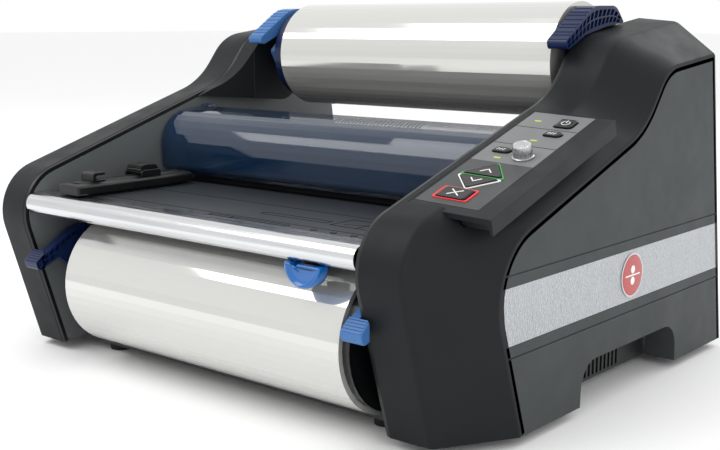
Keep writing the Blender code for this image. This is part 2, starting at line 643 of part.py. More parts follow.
def drive():
    """The gear train outside the right side wall, and its motor."""
    layout = drive_layout()
    for name, bore in (("lower_heat_gear", HEAT_JOURNAL_R), ("upper_heat_gear", HEAT_JOURNAL_R),
                       ("lower_pull_gear", PULL_JOURNAL_R), ("upper_pull_gear", PULL_JOURNAL_R),
                       ("idler_gear", 0.0037)):
        gear(name, layout[name], bore + GAP)
    pinion = layout["motor_pinion"]
    shaft = rod_mesh(*pinion[0], 0.0022, GEAR_X[0] + 0.001, 0.2200, 12)
    keep("motor_pinion", union(plate_mesh(gear_outline(*pinion), *GEAR_X), shaft), STEEL, (0.0, *pinion[0]))
    motor(pinion[0])


def motor(centre):
    can = rod_mesh(*centre, 0.0210, 0.2163, 0.2600, 28)
    plate_outline = rounded(((-0.0660, 0.0745, 0.004), (0.0000, 0.0745, 0.004), (0.0000, 0.1050, 0.004),
                             (-0.0250, 0.1150), (-0.0440, 0.1340), (-0.0660, 0.1340, 0.004)), 3)
    bracket = plate_mesh(plate_outline, 0.2148, 0.2165)
    legs = [rod_mesh(y, z, 0.0035, WALL_X + WALL_THICKNESS + GAP, 0.2150, 10)
            for y, z in ((-0.0610, 0.0795), (-0.0050, 0.0795), (-0.0610, 0.1290))]
    bore = rod_mesh(*centre, 0.0028, 0.20, 0.2225, 12)
    keep("drive_motor", cut(union(can, bracket, *legs), bore), ZINC)


# ---- Film rolls ---------------------------------------------------------------------------------------
def film_roll(name, roll, film_x, ends):
    y, z, film_r = roll
    low, high = film_x
    bore = CORE_R + GAP
    turned(name + "_film", ((film_r, high), (film_r, low), (bore, low), (bore, high)), (y, z), FILM, 56)
    (left, left_r), (right, right_r) = ends
    left_face, right_face = low - GAP, high + GAP
    profile = ((right_r, right), (right_r, right_face), (CORE_R, right_face), (CORE_R, left_face),
               (left_r, left_face), (left_r, left), (CORE_BORE_R, left), (CORE_BORE_R, right))
    turned(name + "_core", profile, (y, z), BLACK if name == "lower" else NAVY, 40)


def housing():
    """The block on the left wall that carries the upper roll's left end. Its face slopes out from the wall."""
    path = offset(pod_path(INNER_OUTLINE, INNER_TOP_Z), 0.0008)
    top = [p for p in path if -0.012 < p.x < 0.108]
    outline = top + rounded(((0.10, 0.30), (0.1180, 0.2970, 0.006), (0.1180, 0.2245, 0.026), (-0.0146, 0.2350),
                             (-0.02, 0.25)), 6, closed=False)[1:-1]
    block = plate_mesh(outline, -WALL_X + GAP, HOUSING_X)
    slope = plate_mesh([Vector(p) for p in ((-0.1970, -0.0300), (HOUSING_X - 0.0006, 0.0500), (-0.1600, 0.0700),
                                            (-0.1600, -0.0300))], 0.2, 0.35, axis="z")
    stub = rod_mesh(*UPPER_ROLL[:2], GUDGEON_R, HOUSING_X - 0.004, -0.1320, 24)
    collar = rod_mesh(*UPPER_ROLL[:2], 0.0170, HOUSING_X - 0.002, HOUSING_X + 0.0030, 24)
    keep("upper_left_roll_housing", union(cut(block, slope), collar, stub), CHARCOAL)


# ---- Levers -------------------------------------------------------------------------------------------
HANDLE = ((-0.0625, 0.0180, 0.003), (-0.0170, 0.0475, 0.040), (0.0235, 0.0480, 0.018), (0.0385, 0.0335, 0.001),
          (0.0345, 0.0328, 0.001), (0.0090, 0.0302, 0.030), (-0.0300, 0.0226, 0.030), (-0.0600, 0.0095, 0.004))


def moved(corners, dy, dz):
    return [(c[0] + dy, c[1] + dz, *c[2:]) for c in corners]


def upper_lever(name, start, side, look):
    """An arched handle over the roll's end, hinged at its rear. start is its face on the roll's side."""
    y, z = UPPER_ROLL[:2]
    low, high = sorted((start, start + side * LEVER_WIDTH))
    handle = plate_mesh(rounded(moved(HANDLE, y, z), 5), low, high)
    low, high = sorted((start, start + side * 0.0083))
    arm_corners = ((-0.0200, 0.0330), (0.0250, 0.0400), (0.0520, 0.0290, 0.006), (0.0540, 0.0155, 0.006),
                   (0.0410, 0.0145, 0.006), (0.0250, 0.0260, 0.010), (-0.0200, 0.0240))
    pin_y, pin_z = y + LEVER_PIN[0], z + LEVER_PIN[1]
    arm = plate_mesh(rounded(moved(arm_corners, y, z), 4), low, high)
    bore = rod_mesh(pin_y, pin_z, 0.0026, -0.3, 0.3, 16)
    keep(name, cut(union(handle, arm), bore), look, (start, pin_y, pin_z))


def lower_lever(name, start, side, look, tip_end):
    """The same handle on a hub about the roll's axis. Only its tip is as wide as tip_end, ahead of the pod."""
    y, z = LOWER_ROLL[:2]
    low, high = sorted((start, start + side * 0.0083))
    outline = moved(HANDLE, y - 0.0060, z + 0.0012)
    handle = plate_mesh(rounded(outline, 5), low, high)
    arm_corners = ((-0.0480, 0.0250), (-0.0250, 0.0400), (0.0150, 0.0360), (0.0160, -0.0080, 0.012),
                   (-0.0160, -0.0120, 0.012), (-0.0300, 0.0100, 0.012))
    arm = plate_mesh(rounded(moved(arm_corners, y, z), 4), low, high)
    tip_low, tip_high = sorted((start, tip_end))
    tip_corners = ((-0.0685, 0.0195, 0.003), (-0.0580, 0.0285), (-0.0580, 0.0130), (-0.0660, 0.0105, 0.004))
    tip = plate_mesh(rounded(moved(tip_corners, y, z), 5), tip_low, tip_high)
    bore = rod_mesh(y, z, GUDGEON_R + 0.0005, -0.3, 0.3, 24)
    keep(name, cut(union(handle, arm, tip), bore), look, (start, y, z))


def levers():
    upper_lever("upper_right_lever", LEVER_X_RIGHT, 1, NAVY)
    upper_lever("upper_left_lever", LEVER_X_UPPER_LEFT, -1, LIGHT_BLUE)
    lower_lever("lower_right_lever", LEVER_X_RIGHT - 0.0005, 1, LIGHT_BLUE, 0.2080)
    lower_lever("lower_left_lever", LEVER_X_LOWER_LEFT, -1, NAVY, LEVER_X_LOWER_LEFT - LEVER_WIDTH)


# ---- Heat shield --------------------------------------------------------------------------------------
def shield():
    """A smoked cover with end walls, hinged along its rear edge."""
    outer = rounded(SHIELD_OUTLINE, 7, closed=False)
    inner = offset(outer[::-1], SHIELD_WALL)[::-1]
    skin = plate_mesh(outer + inner[::-1], -SHIELD_X, SHIELD_X)
    ends = []
    closing = (Vector((-0.0200, 0.1940)), Vector((-0.0120, 0.2020)))
    for side in (-1, 1):
        low, high = sorted((side * (SHIELD_X - SHIELD_WALL), side * SHIELD_X))
        ends.append(plate_mesh([*outer[:-4], Vector((-0.0640, 0.1700)), Vector((-0.0480, 0.1980)), *closing], low, high))
    knuckles = [rod_mesh(*SHIELD_HINGE, 0.0045, *sorted((s * 0.1800, s * SHIELD_X)), 14) for s in (-1, 1)]
    bores = [rod_mesh(*SHIELD_HINGE, 0.0022, *sorted((s * 0.1840, s * 0.2200)), 12) for s in (-1, 1)]
    keep("heat_shield", cut(union(skin, *ends, *knuckles), *bores), SMOKE, (0.0, *SHIELD_HINGE))


# ---- Console ------------------------------------------------------------------------------------------
def console_frame():
    """Maps (across, up the slope, out of the face) to world space."""
    slope = Matrix.Rotation(CONSOLE_SLOPE, 4, "X")
    tilt = Matrix.Rotation(CONSOLE_TILT, 4, "Y")
    return Matrix.Translation(CONSOLE_ORIGIN) @ slope @ tilt


def console_box(u, v, w, bevel=0.0):
    mesh = box_mesh((u[0], v[0], w[0]), (u[1], v[1], w[1]), bevel, 2)
    mesh.transform(console_frame())
    return mesh


def console_plate(outline, low, high, holes=()):
    mesh = plate_mesh(outline, low, high, axis="z", holes=holes)
    mesh.transform(console_frame())
    return mesh


def key_rectangle(u, v, width, height, radius):
    return ((u - width / 2, v - height / 2, radius), (u + width / 2, v - height / 2, radius),
            (u + width / 2, v + height / 2, radius), (u - width / 2, v + height / 2, radius))


KEYS = {
    "power_button": key_rectangle(0.0465, 0.1530, 0.0155, 0.0145, 0.0030),
    "temperature_button": key_rectangle(0.0468, 0.1320, 0.0150, 0.0080, 0.0035),
    "fan_button": key_rectangle(0.0243, 0.0945, 0.0150, 0.0080, 0.0035),
    "forward_button": ((0.0170, 0.0500, 0.0012), (0.0520, 0.0500, 0.0012), (0.0360, 0.0705, 0.0012)),
    "reverse_button": ((0.0520, 0.0470, 0.0012), (0.0170, 0.0470, 0.0012), (0.0350, 0.0285, 0.0012)),
    "stop_button": key_rectangle(0.0328, 0.0180, 0.0250, 0.0155, 0.0020),
}
KNOB_U, KNOB_V, KNOB_R = 0.0465, 0.0885, 0.0073


def grown(corners, by):
    middle = sum((Vector(c[:2]) for c in corners), Vector((0.0, 0.0))) / len(corners)
    reach = max((Vector(c[:2]) - middle).length for c in corners)
    scale = 1 + by / reach * 1.9
    return [(*(middle + (Vector(c[:2]) - middle) * scale), c[2] * scale) for c in corners]


def label(name, v_low, v_high, look):
    inside = [corners for corners in KEYS.values() if v_low < corners[0][1] < v_high]
    holes = [rounded(grown(corners, 0.0006), 3) for corners in inside]
    if v_low < KNOB_V < v_high:
        holes.append(circle(KNOB_U, KNOB_V, KNOB_R - 0.0035, 20))
    outline = rectangle(*LABEL_U, v_low, v_high)
    keep(name, console_plate(outline, -LABEL_DEPTH, 0.0, holes), look)


def console():
    """A shallow box let into the right pod's slope; its outer end overhangs the chamfer."""
    u, v = CONSOLE_U, CONSOLE_V
    top = -LABEL_DEPTH - GAP
    shell = console_box(u, v, (-CONSOLE_DEPTH, 0.0))
    seat = console_box((LABEL_U[0] - GAP, LABEL_U[1] + GAP), (0.0015 - GAP, 0.1700 + GAP), (top, 0.01))
    mouth = console_box((u[0] + 0.002, 0.0465), (v[0] + 0.002, v[1] - 0.002), (-CONSOLE_DEPTH - 0.01, top - 0.0015))
    hollow = console_box((0.0460, u[1] - 0.002), (v[0] + 0.009, v[1] - 0.002), (-CONSOLE_DEPTH + 0.002, top - 0.0015))
    finger = console_box((0.0485, u[1] - 0.0025), (v[0] - 0.01, v[0] + 0.0075), (-CONSOLE_DEPTH - 0.01, -0.0046))
    keys = [console_plate(rounded(grown(c, 0.0006), 3), -0.006, 0.01) for c in KEYS.values()]
    spindle = console_plate(circle(KNOB_U, KNOB_V, KNOB_R - 0.0035, 20), -0.006, 0.01)
    body = cut(shell, seat, mouth, hollow, finger, *keys, spindle)
    keep("console_body", body, CONSOLE_GREY)
    label("lower_label", 0.0015, LABEL_SPLIT_V - GAP, LABEL_DARK)
    label("upper_label", LABEL_SPLIT_V, 0.1700, LABEL_LIGHT)
    for name, corners in KEYS.items():
        middle = sum((Vector(c[:2]) for c in corners), Vector((0.0, 0.0))) / len(corners)
        mesh = console_plate(rounded(corners, 3), BUTTON_ROOT, BUTTON_RISE)
        keep(name, mesh, GLOSS_BLACK, console_frame() @ Vector((*middle, 0.0)))
    knob = union(console_plate(circle(KNOB_U, KNOB_V, KNOB_R, 24), 0.0006, 0.0110),
                 console_plate(circle(KNOB_U, KNOB_V, KNOB_R - 0.0040, 16), BUTTON_ROOT, 0.0010))
    keep("speed_knob", knob, SILVER, console_frame() @ Vector((KNOB_U, KNOB_V, 0.0)))


def boards():
    """The control board under the keys and the power board in the foot of the right pod."""
    keep("control_board", console_box((0.0105, 0.0455), (0.0060, 0.1640), (-0.0118, -0.0103)), BOARD_GREEN)
    power = box_mesh((0.2060, 0.0800, 0.0200), (0.2076, 0.1900, 0.1000))
    blocks = [box_mesh((0.2074, y, z), (0.2074 + w, y + 0.022, z + 0.026))
              for y, z, w in ((0.088, 0.028, 0.022), (0.118, 0.028, 0.016), (0.150, 0.050, 0.026), (0.096, 0.066, 0.012))]
    legs = [rod_mesh(y, z, 0.0030, WALL_X + WALL_THICKNESS + GAP, 0.2062, 10)
            for y, z in ((0.0850, 0.0250), (0.1850, 0.0250), (0.0850, 0.0950), (0.1850, 0.0950))]
    keep("power_board", union(power, *blocks, *legs), BOARD_GREEN)


def main():
    global PARTS, CUTTERS
    clear_scene()
    PARTS = new_collection("roll_laminator")
    CUTTERS = new_collection("cutters")
    pods()
    base()
    rear()
    power_entry()
    table()
    guide()
    slitter()
    for side, where in ((1, "upper"), (-1, "lower")):
        heat_roller(where + "_heat_roller", NIP_Z + side * HEAT_HALF)
        pull_roller(where + "_pull_roller", NIP_Z + side * PULL_HALF)
    drive()
    film_roll("upper", UPPER_ROLL, UPPER_FILM_X, UPPER_ENDS)
    film_roll("lower", LOWER_ROLL, LOWER_FILM_X, LOWER_ENDS)
    housing()
    levers()
    shield()
    console()
    boards()


main()
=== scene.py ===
"""The looks of a desktop roll laminator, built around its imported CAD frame. Metres, +Z up, user at -Y."""

import json
import math

import bmesh
import bpy
from mathutils import Matrix, Vector


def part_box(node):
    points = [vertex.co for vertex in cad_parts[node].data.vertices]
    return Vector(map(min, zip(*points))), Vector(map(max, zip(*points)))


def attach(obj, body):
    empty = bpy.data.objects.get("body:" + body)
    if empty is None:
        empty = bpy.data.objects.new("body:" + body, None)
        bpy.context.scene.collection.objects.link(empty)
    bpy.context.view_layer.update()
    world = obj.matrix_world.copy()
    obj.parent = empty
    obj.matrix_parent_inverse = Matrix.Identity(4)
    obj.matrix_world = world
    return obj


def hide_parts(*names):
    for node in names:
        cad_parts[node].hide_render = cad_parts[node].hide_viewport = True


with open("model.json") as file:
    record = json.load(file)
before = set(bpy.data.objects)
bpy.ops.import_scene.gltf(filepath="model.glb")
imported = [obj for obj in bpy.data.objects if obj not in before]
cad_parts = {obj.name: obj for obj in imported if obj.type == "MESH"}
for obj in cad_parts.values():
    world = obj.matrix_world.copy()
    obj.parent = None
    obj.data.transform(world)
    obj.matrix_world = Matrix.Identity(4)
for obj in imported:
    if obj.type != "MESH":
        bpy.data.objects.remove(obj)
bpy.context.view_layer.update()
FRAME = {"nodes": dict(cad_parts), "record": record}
NODES = FRAME["nodes"]
SLOT_OF = {part["node"]: part["material_slot"] for part in FRAME["record"]["subparts"]}

# ---- Sizes that the frame doesn't state ---------------------------------------------------------------
PANEL_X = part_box("right_side_panel")[1].x
POD_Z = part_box("right_side_panel")[0].z
REAR_Y, REAR_LEAN, REAR_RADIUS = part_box("right_fascia")[1].y, 0.163, 0.0035
INNER_X, CREASE_X = 0.2004, 0.2386
INNER_OUTLINE = ((-0.1899, POD_Z), (-0.2375, 0.1642, 0.045), (0.0258, 0.2510, 0.085), (0.0637, 0.2984, 0.050))
CREASE_OUTLINE = ((-0.1891, POD_Z), (-0.2360, 0.1643, 0.046), (0.0254, 0.2480, 0.085), (0.0631, 0.2953, 0.050))
PANEL_OUTLINE = ((-0.1271, POD_Z), (-0.1750, 0.1469, 0.057), (0.0526, 0.2232, 0.085), (0.0928, 0.2728, 0.045))
INNER_TOP_Z, CREASE_TOP_Z, PANEL_TOP_Z = 0.3144, 0.3111, 0.2826

CONSOLE_SLOPE, CONSOLE_TILT = math.radians(18.26), math.radians(3.07)
CONSOLE_ORIGIN = Vector((0.2004, -0.1740, 0.1851))
# Size of the black painted-shade strip along each pod's inner edge.
SHADE_STRIP_OVERHANG, SHADE_STRIP_DEPTH = 0.0026, 0.0052

UPPER_ROLL, LOWER_ROLL = (0.0988, 0.2765), (-0.1632, 0.0760)
LEVER_PLATE = 0.0083
BADGE_PLACE, BADGE_RADIUS, BADGE_RISE = (0.0408, 0.1025), 0.0187, 0.43
TABLE_GROOVES, TABLE_HALF_WIDTH = (-0.1812, -0.1232), 0.1955
GUIDE_DEPTH = 0.0100

BUTTON_RISE, BUTTON_DEPTH = 0.0016, 0.0085
ICON_LINE, OUTLINE_GROWTH = 0.0009, 0.0016
KNOB_U, KNOB_V, KNOB_RADIUS = 0.0465, 0.0885, 0.0073
CONSOLE = (Matrix.Translation(CONSOLE_ORIGIN) @ Matrix.Rotation(CONSOLE_SLOPE, 4, "X")
           @ Matrix.Rotation(CONSOLE_TILT, 4, "Y"))


# ---- Meshes -------------------------------------------------------------------------------------------
def rounded(corners, steps=8, closed=True):
    """Points of an outline whose corners are (a, b) or (a, b, radius)."""
    points = []
    last = len(corners) - 1
    for i, corner in enumerate(corners):
        here = Vector(corner[:2])
        if len(corner) < 3 or (not closed and i in (0, last)):
            points.append(here)
            continue
        before = (Vector(corners[i - 1][:2]) - here).normalized()
        after = (Vector(corners[(i + 1) % len(corners)][:2]) - here).normalized()
        half = before.angle(after) / 2
        centre = here + (before + after).normalized() * corner[2] / math.sin(half)
        start = here + before * corner[2] / math.tan(half) - centre
        end = here + after * corner[2] / math.tan(half) - centre
        first = math.atan2(start.y, start.x)
        turn = (math.atan2(end.y, end.x) - first + math.pi) % math.tau - math.pi
        points += [centre + corner[2] * Vector((math.cos(first + turn * k / steps),
                                                math.sin(first + turn * k / steps)))
                   for k in range(steps + 1)]
    return points


def offset(path, distance):
    """An open path moved to its right by distance."""
    shifted = []
    for i, point in enumerate(path):
        along = (path[min(i + 1, len(path) - 1)] - path[max(i - 1, 0)]).normalized()
        shifted.append(point + Vector((along.y, -along.x)) * distance)
    return shifted


def filleted(points, cuts, steps=5):
    """A polyline in space whose inner corners are replaced by soft curves that start cuts[i] away."""
    made = [points[0]]
    for before, here, after, reach in zip(points, points[1:], points[2:], cuts):
        start = here + (before - here).normalized() * reach
        end = here + (after - here).normalized() * reach
        for k in range(steps + 1):
            t = k / steps
            made.append(start * (1 - t) ** 2 + here * 2 * t * (1 - t) + end * t ** 2)
    return made + [points[-1]]


def loft(rows, closed=False, capped=False):
    """A skin over rows of points, one row beside the next."""
    form = bmesh.new()
    grid = [[form.verts.new(p) for p in row] for row in rows]
    for row, beyond in zip(grid, grid[1:]):
        count = len(row)
        for i in range(count if closed else count - 1):
            j = (i + 1) % count
            form.faces.new((row[i], row[j], beyond[j], beyond[i]))
    if capped:
        form.faces.new(grid[0][::-1])
        form.faces.new(grid[-1])
    bmesh.ops.recalc_face_normals(form, faces=form.faces)
    return finished(form)


def finished(form):
    mesh = bpy.data.meshes.new("mesh")
    form.to_mesh(mesh)
    form.free()
    return mesh


def plate(outline, low, high, axis="x"):
    """A solid from an outline, (y, z) across x, (x, z) across y or (x, y) across z."""
    place = {"x": lambda a, b, c: (c, a, b), "y": lambda a, b, c: (a, c, b), "z": lambda a, b, c: (a, b, c)}[axis]
    return loft([[place(p[0], p[1], level) for p in outline] for level in (low, high)], closed=True, capped=True)


def box(low, high):
    return plate([(low[0], low[1]), (high[0], low[1]), (high[0], high[1]), (low[0], high[1])], low[2], high[2], "z")


def lathe(profile, centre, axis="x", steps=96):
    """A solid turned about a line through centre, from its closed (radius, along) profile."""
    form = bmesh.new()
    rings = []
    for radius, along in profile:
        ring = []
        for k in range(steps):
            a = math.tau * k / steps
            c, s = radius * math.cos(a), radius * math.sin(a)
            ring.append(form.verts.new(Vector(centre) + Vector({"x": (along, c, s), "z": (c, s, along)}[axis])))
        rings.append(ring)
    for one, two in zip(rings, rings[1:] + rings[:1]):
        for k in range(steps):
            j = (k + 1) % steps
            form.faces.new((one[k], one[j], two[j], two[k]))
    bmesh.ops.remove_doubles(form, verts=form.verts, dist=1e-7)
    bmesh.ops.recalc_face_normals(form, faces=form.faces)
    return finished(form)


def joined(*meshes):
    form = bmesh.new()
    for mesh in meshes:
        form.from_mesh(mesh)
    return finished(form)


def turned_mesh(mesh, matrix):
    mesh.transform(matrix)
    if matrix.determinant() < 0:
        mesh.flip_normals()
    return mesh


def piece(name, mesh, look, body, bevel=0.0, segments=2, replaces=(), smooth=30, weighted=True):
    """A piece that rides on a body, with softened edges and shading."""
    mesh.name = name
    mesh.materials.clear()
    mesh.materials.append(look)
    obj = bpy.data.objects.new(name, mesh)
    bpy.context.scene.collection.objects.link(obj)
    soften(obj, bevel, segments, smooth, weighted)
    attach(obj, body)
    if replaces:
        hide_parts(*replaces)
    return obj


def soften(obj, bevel=0.0, segments=2, smooth=30, weighted=True):
    obj.data.shade_smooth()
    obj.data.set_sharp_from_angle(angle=math.radians(smooth))
    if bevel:
        step = obj.modifiers.new("edges", "BEVEL")
        step.width = bevel
        step.segments = segments
        step.limit_method = "ANGLE"
        step.angle_limit = math.radians(smooth)
        step.harden_normals = False
    if weighted:
        step = obj.modifiers.new("normals", "WEIGHTED_NORMAL")
        step.keep_sharp = True


def subtract(mesh, *tools):
    """The mesh with each tool cut out of it."""
    body = bpy.data.objects.new("body", mesh)
    bpy.context.scene.collection.objects.link(body)
    helpers = []
    for tool in tools:
        helper = bpy.data.objects.new("tool", tool)
        bpy.context.scene.collection.objects.link(helper)
        helpers.append(helper)
        step = body.modifiers.new("cut", "BOOLEAN")
        step.operation, step.solver, step.object = "DIFFERENCE", "EXACT", helper
    graph = bpy.context.evaluated_depsgraph_get()
    made = bpy.data.meshes.new_from_object(body.evaluated_get(graph))
    for obj in (body, *helpers):
        bpy.data.objects.remove(obj, do_unlink=True)
    return made


# ---- Materials ----------------------------------------------------------------------------------------
def srgb(code):
    """A colour from its hex code."""
    values = [int(code[i:i + 2], 16) / 255 for i in (0, 2, 4)]
    return tuple(v / 12.92 if v <= 0.04045 else ((v + 0.055) / 1.055) ** 2.4 for v in values)


class Look:
    """A Principled material and short ways to wire procedural detail into it."""

    def __init__(self, name, colour, roughness, **sockets):
        self.mat = bpy.data.materials.new(name)
        self.mat.use_nodes = True
        self.tree = self.mat.node_tree
        self.shader = self.tree.nodes["Principled BSDF"]
        self.shader.inputs["Base Color"].default_value = (*colour, 1.0)
        self.shader.inputs["Roughness"].default_value = roughness
        for key, value in sockets.items():
            self.shader.inputs[key.replace("_", " ").title().replace("Ior", "IOR")].default_value = value
        self.colour, self.roughness = colour, roughness
        self.coords = self.tree.nodes.new("ShaderNodeTexCoord")
        self.mat.diffuse_color = (*colour, 1.0)

    def node(self, kind, **settings):
        made = self.tree.nodes.new("ShaderNode" + kind)
        for key, value in settings.items():
            if key in made.inputs:
                made.inputs[key].default_value = value
            else:
                setattr(made, key, value)
        return made

    def link(self, one, two):
        self.tree.links.new(one, two)

    def noise(self, scale, stretch=(1, 1, 1), detail=3.0, roughness=0.55):
        place = self.node("Mapping")
        place.inputs["Scale"].default_value = stretch
        self.link(self.coords.outputs["Object"], place.inputs["Vector"])
        made = self.node("TexNoise", Scale=scale, Detail=detail, Roughness=roughness)
        self.link(place.outputs["Vector"], made.inputs["Vector"])
        return made.outputs["Fac"]

    def ramp(self, source, low, high, start=0.3, end=0.7):
        made = self.node("MapRange")
        for socket, value in zip(("From Min", "From Max", "To Min", "To Max"), (start, end, low, high)):
            made.inputs[socket].default_value = value
        self.link(source, made.inputs["Value"])
        return made.outputs["Result"]

    def mottle(self, source, change):
        """Varies the colour's lightness by a share either way."""
        mix = self.node("MixRGB")
        mix.inputs["Color1"].default_value = (*[max(0.0, c * (1 - change)) for c in self.colour], 1)
        mix.inputs["Color2"].default_value = (*[min(1.0, c * (1 + change)) for c in self.colour], 1)
        self.link(self.ramp(source, 0.0, 1.0), mix.inputs["Fac"])
        self.link(mix.outputs["Color"], self.shader.inputs["Base Color"])
        return self

    def vary_roughness(self, source, change):
        self.link(self.ramp(source, max(0.02, self.roughness - change), min(1.0, self.roughness + change)),
                  self.shader.inputs["Roughness"])
        return self

    def bump(self, source, strength, depth):
        made = self.node("Bump", Strength=strength, Distance=depth)
        self.link(source, made.inputs["Height"])
        if self.shader.inputs["Normal"].is_linked:
            self.link(self.shader.inputs["Normal"].links[0].from_socket, made.inputs["Normal"])
        self.link(made.outputs["Normal"], self.shader.inputs["Normal"])
        return self


def moulded(name, colour, roughness=0.5, grain=900, depth=0.00012, strength=0.35, **sockets):
    """Moulded plastic with a fine spark-eroded grain and faint handling marks."""
    look = Look(name, colour, roughness, **sockets)
    look.bump(look.noise(grain, detail=2.0), strength, depth)
    look.mottle(look.noise(14, detail=4.0), 0.06)
    look.vary_roughness(look.noise(38, detail=5.0), 0.06)
    return look.mat


def brushed(name, colour, roughness, stretch, **sockets):
    """Metal with fine lines along one axis."""
    look = Look(name, colour, roughness, metallic=1.0, **sockets)
    lines = look.noise(520, stretch, detail=5.0, roughness=0.7)
    look.bump(lines, 0.25, 0.00006)
    look.vary_roughness(lines, 0.10)
    look.mottle(look.noise(260, stretch, detail=4.0), 0.08)
    return look.mat


def painted(name, colour, roughness=0.4, **sockets):
    """Powder coat with faint orange peel."""
    look = Look(name, colour, roughness, **sockets)
    look.bump(look.noise(420, detail=2.0), 0.12, 0.00015)
    look.vary_roughness(look.noise(30, detail=4.0), 0.05)
    look.mottle(look.noise(9, detail=3.0), 0.05)
    return look.mat


def film_look():
    """Tightly wound clear film: bright, and close to a mirror."""
    look = Look("wound_film", srgb("cfcfcb"), 0.08, metallic=0.62, coat_weight=0.6, coat_roughness=0.03)
    look.vary_roughness(look.noise(30, (0.15, 1, 1)), 0.03)
    look.bump(look.noise(60, (0.1, 1, 1), detail=2.0), 0.05, 0.0001)
    return look.mat


def table_look():
    """Smooth dark paint with a fine, even grain."""
    look = Look("table_paint", srgb("2f3337"), 0.30, specular_ior_level=0.35)
    look.bump(look.noise(900, detail=1.0), 0.06, 0.00005)
    look.vary_roughness(look.noise(3, (0.3, 1, 1), detail=0.0), 0.02)
    look.mottle(look.noise(1400, detail=1.0), 0.05)
    return look.mat


def smoke_look():
    look = Look("smoked_shield", srgb("17314e"), 0.04, coat_weight=1.0, coat_roughness=0.02, alpha=0.55)
    look.vary_roughness(look.noise(18, detail=3.0), 0.02)
    look.mottle(look.noise(3, (0.2, 1, 1), detail=0.0), 0.06)
    return look.mat


def strip_look():
    """Fine wavy upright threads on silver."""
    look = Look("strip_weave", srgb("b2b5b8"), 0.38, metallic=0.65)
    threads = look.node("TexWave", wave_type="BANDS", bands_direction="Y", Scale=190.0, Distortion=7.0, Detail=2.0)
    threads.inputs["Detail Scale"].default_value = 1.5
    look.link(look.coords.outputs["Object"], threads.inputs["Vector"])
    look.bump(threads.outputs["Fac"], 0.6, 0.0003)
    look.mottle(threads.outputs["Fac"], 0.30)
    return look.mat


def materials():
    return {
        "charcoal": moulded("charcoal_plastic", srgb("1b1e20"), 0.46, 900, 0.00016, specular_ior_level=0.13),
        "panel_grey": moulded("panel_plastic", srgb("3a3e3f"), 0.50, specular_ior_level=0.2),
        "wall_grey": painted("wall_paint", srgb("5c6061"), 0.42, specular_ior_level=0.3),
        "black_steel": painted("black_paint", srgb("1c1e20"), 0.45),
        "charcoal_steel": painted("charcoal_paint", srgb("26292b"), 0.45),
        "foot_rubber": moulded("foot_rubber", srgb("141415"), 0.85, 600),
        "black_plastic": moulded("black_plastic", srgb("0f1011"), 0.36, 1100, 0.00008, specular_ior_level=0.35),
        "gloss_black": moulded("gloss_black", srgb("08090a"), 0.16, 1500, 0.00002, 0.2, specular_ior_level=0.4),
        "table_grey": table_look(),
        "lip_aluminium": brushed("lip_aluminium", srgb("d4d6d8"), 0.17, (0.02, 1, 1)),
        "bright_blue": moulded("slitter_blue", srgb("055ea8"), 0.22, 1200, 0.00005, coat_weight=0.4),
        "silicone": moulded("silicone", srgb("1d1f22"), 0.38, 700),
        "roller_rubber": moulded("roller_rubber", srgb("161617"), 0.60, 700),
        "nylon": moulded("nylon", srgb("cfcabb"), 0.45, 800),
        "steel": brushed("steel", srgb("b9bcc0"), 0.28, (1, 0.05, 0.05)),
        "zinc": brushed("zinc", srgb("a6a9ac"), 0.42, (1, 0.6, 0.6)),
        "navy": moulded("navy_plastic", srgb("0b1d44"), 0.36, 900, specular_ior_level=0.35),
        "light_blue": moulded("light_blue_plastic", srgb("3c6aa2"), 0.36, 900, specular_ior_level=0.35),
        "console_grey": moulded("console_plastic", srgb("1f2224"), 0.46, 900, 0.00016, specular_ior_level=0.16),
        "label_light": moulded("label_light", srgb("707273"), 0.42, 1600, 0.00004, specular_ior_level=0.3),
        "label_dark": moulded("label_dark", srgb("414344"), 0.42, 1600, 0.00004, specular_ior_level=0.3),
        "board_green": painted("board_green", srgb("1d5c33"), 0.5),
        "knob_silver": brushed("knob_silver", srgb("c4c6c8"), 0.24, (1, 1, 0.1)),
        "badge_red": moulded("badge_red", srgb("a80610"), 0.20, 1500, 0.00001, 0.1, coat_weight=0.5),
        "silver_strip": strip_look(),
        "film": film_look(),
        "smoke": smoke_look(),
        "ink_white": moulded("ink_white", srgb("e8e8e6"), 0.45, 1500, 0.00001, 0.1),
        # ink_black also colours the painted-shade plate in the console's finger recess.
        "ink_black": moulded("ink_black", srgb("050607"), 0.50, 1500, 0.00001, 0.1),
        # ink_line also colours the painted shadow bars in the table grooves.
        "ink_line": moulded("ink_line", srgb("050607"), 0.80, 1500, 0.00001, 0.1, specular_ior_level=0.05),
        "ring_green": moulded("ring_green", srgb("2f9a3c"), 0.35, 1500, 0.00001, 0.1),
        "ring_red": moulded("ring_red", srgb("d8202c"), 0.35, 1500, 0.00001, 0.1),
        "lamp": moulded("lamp", srgb("a9c44a"), 0.30, 1500, 0.00001, 0.1),
    }


LOOKS = materials()


# ---- Pods ---------------------------------------------------------------------------------------------
def pod_path(corners, top_z, steps=16):
    top = (REAR_Y - REAR_LEAN * (top_z - POD_Z), top_z, REAR_RADIUS)
    return rounded((*corners, top, (REAR_Y, POD_Z)), steps, closed=False)


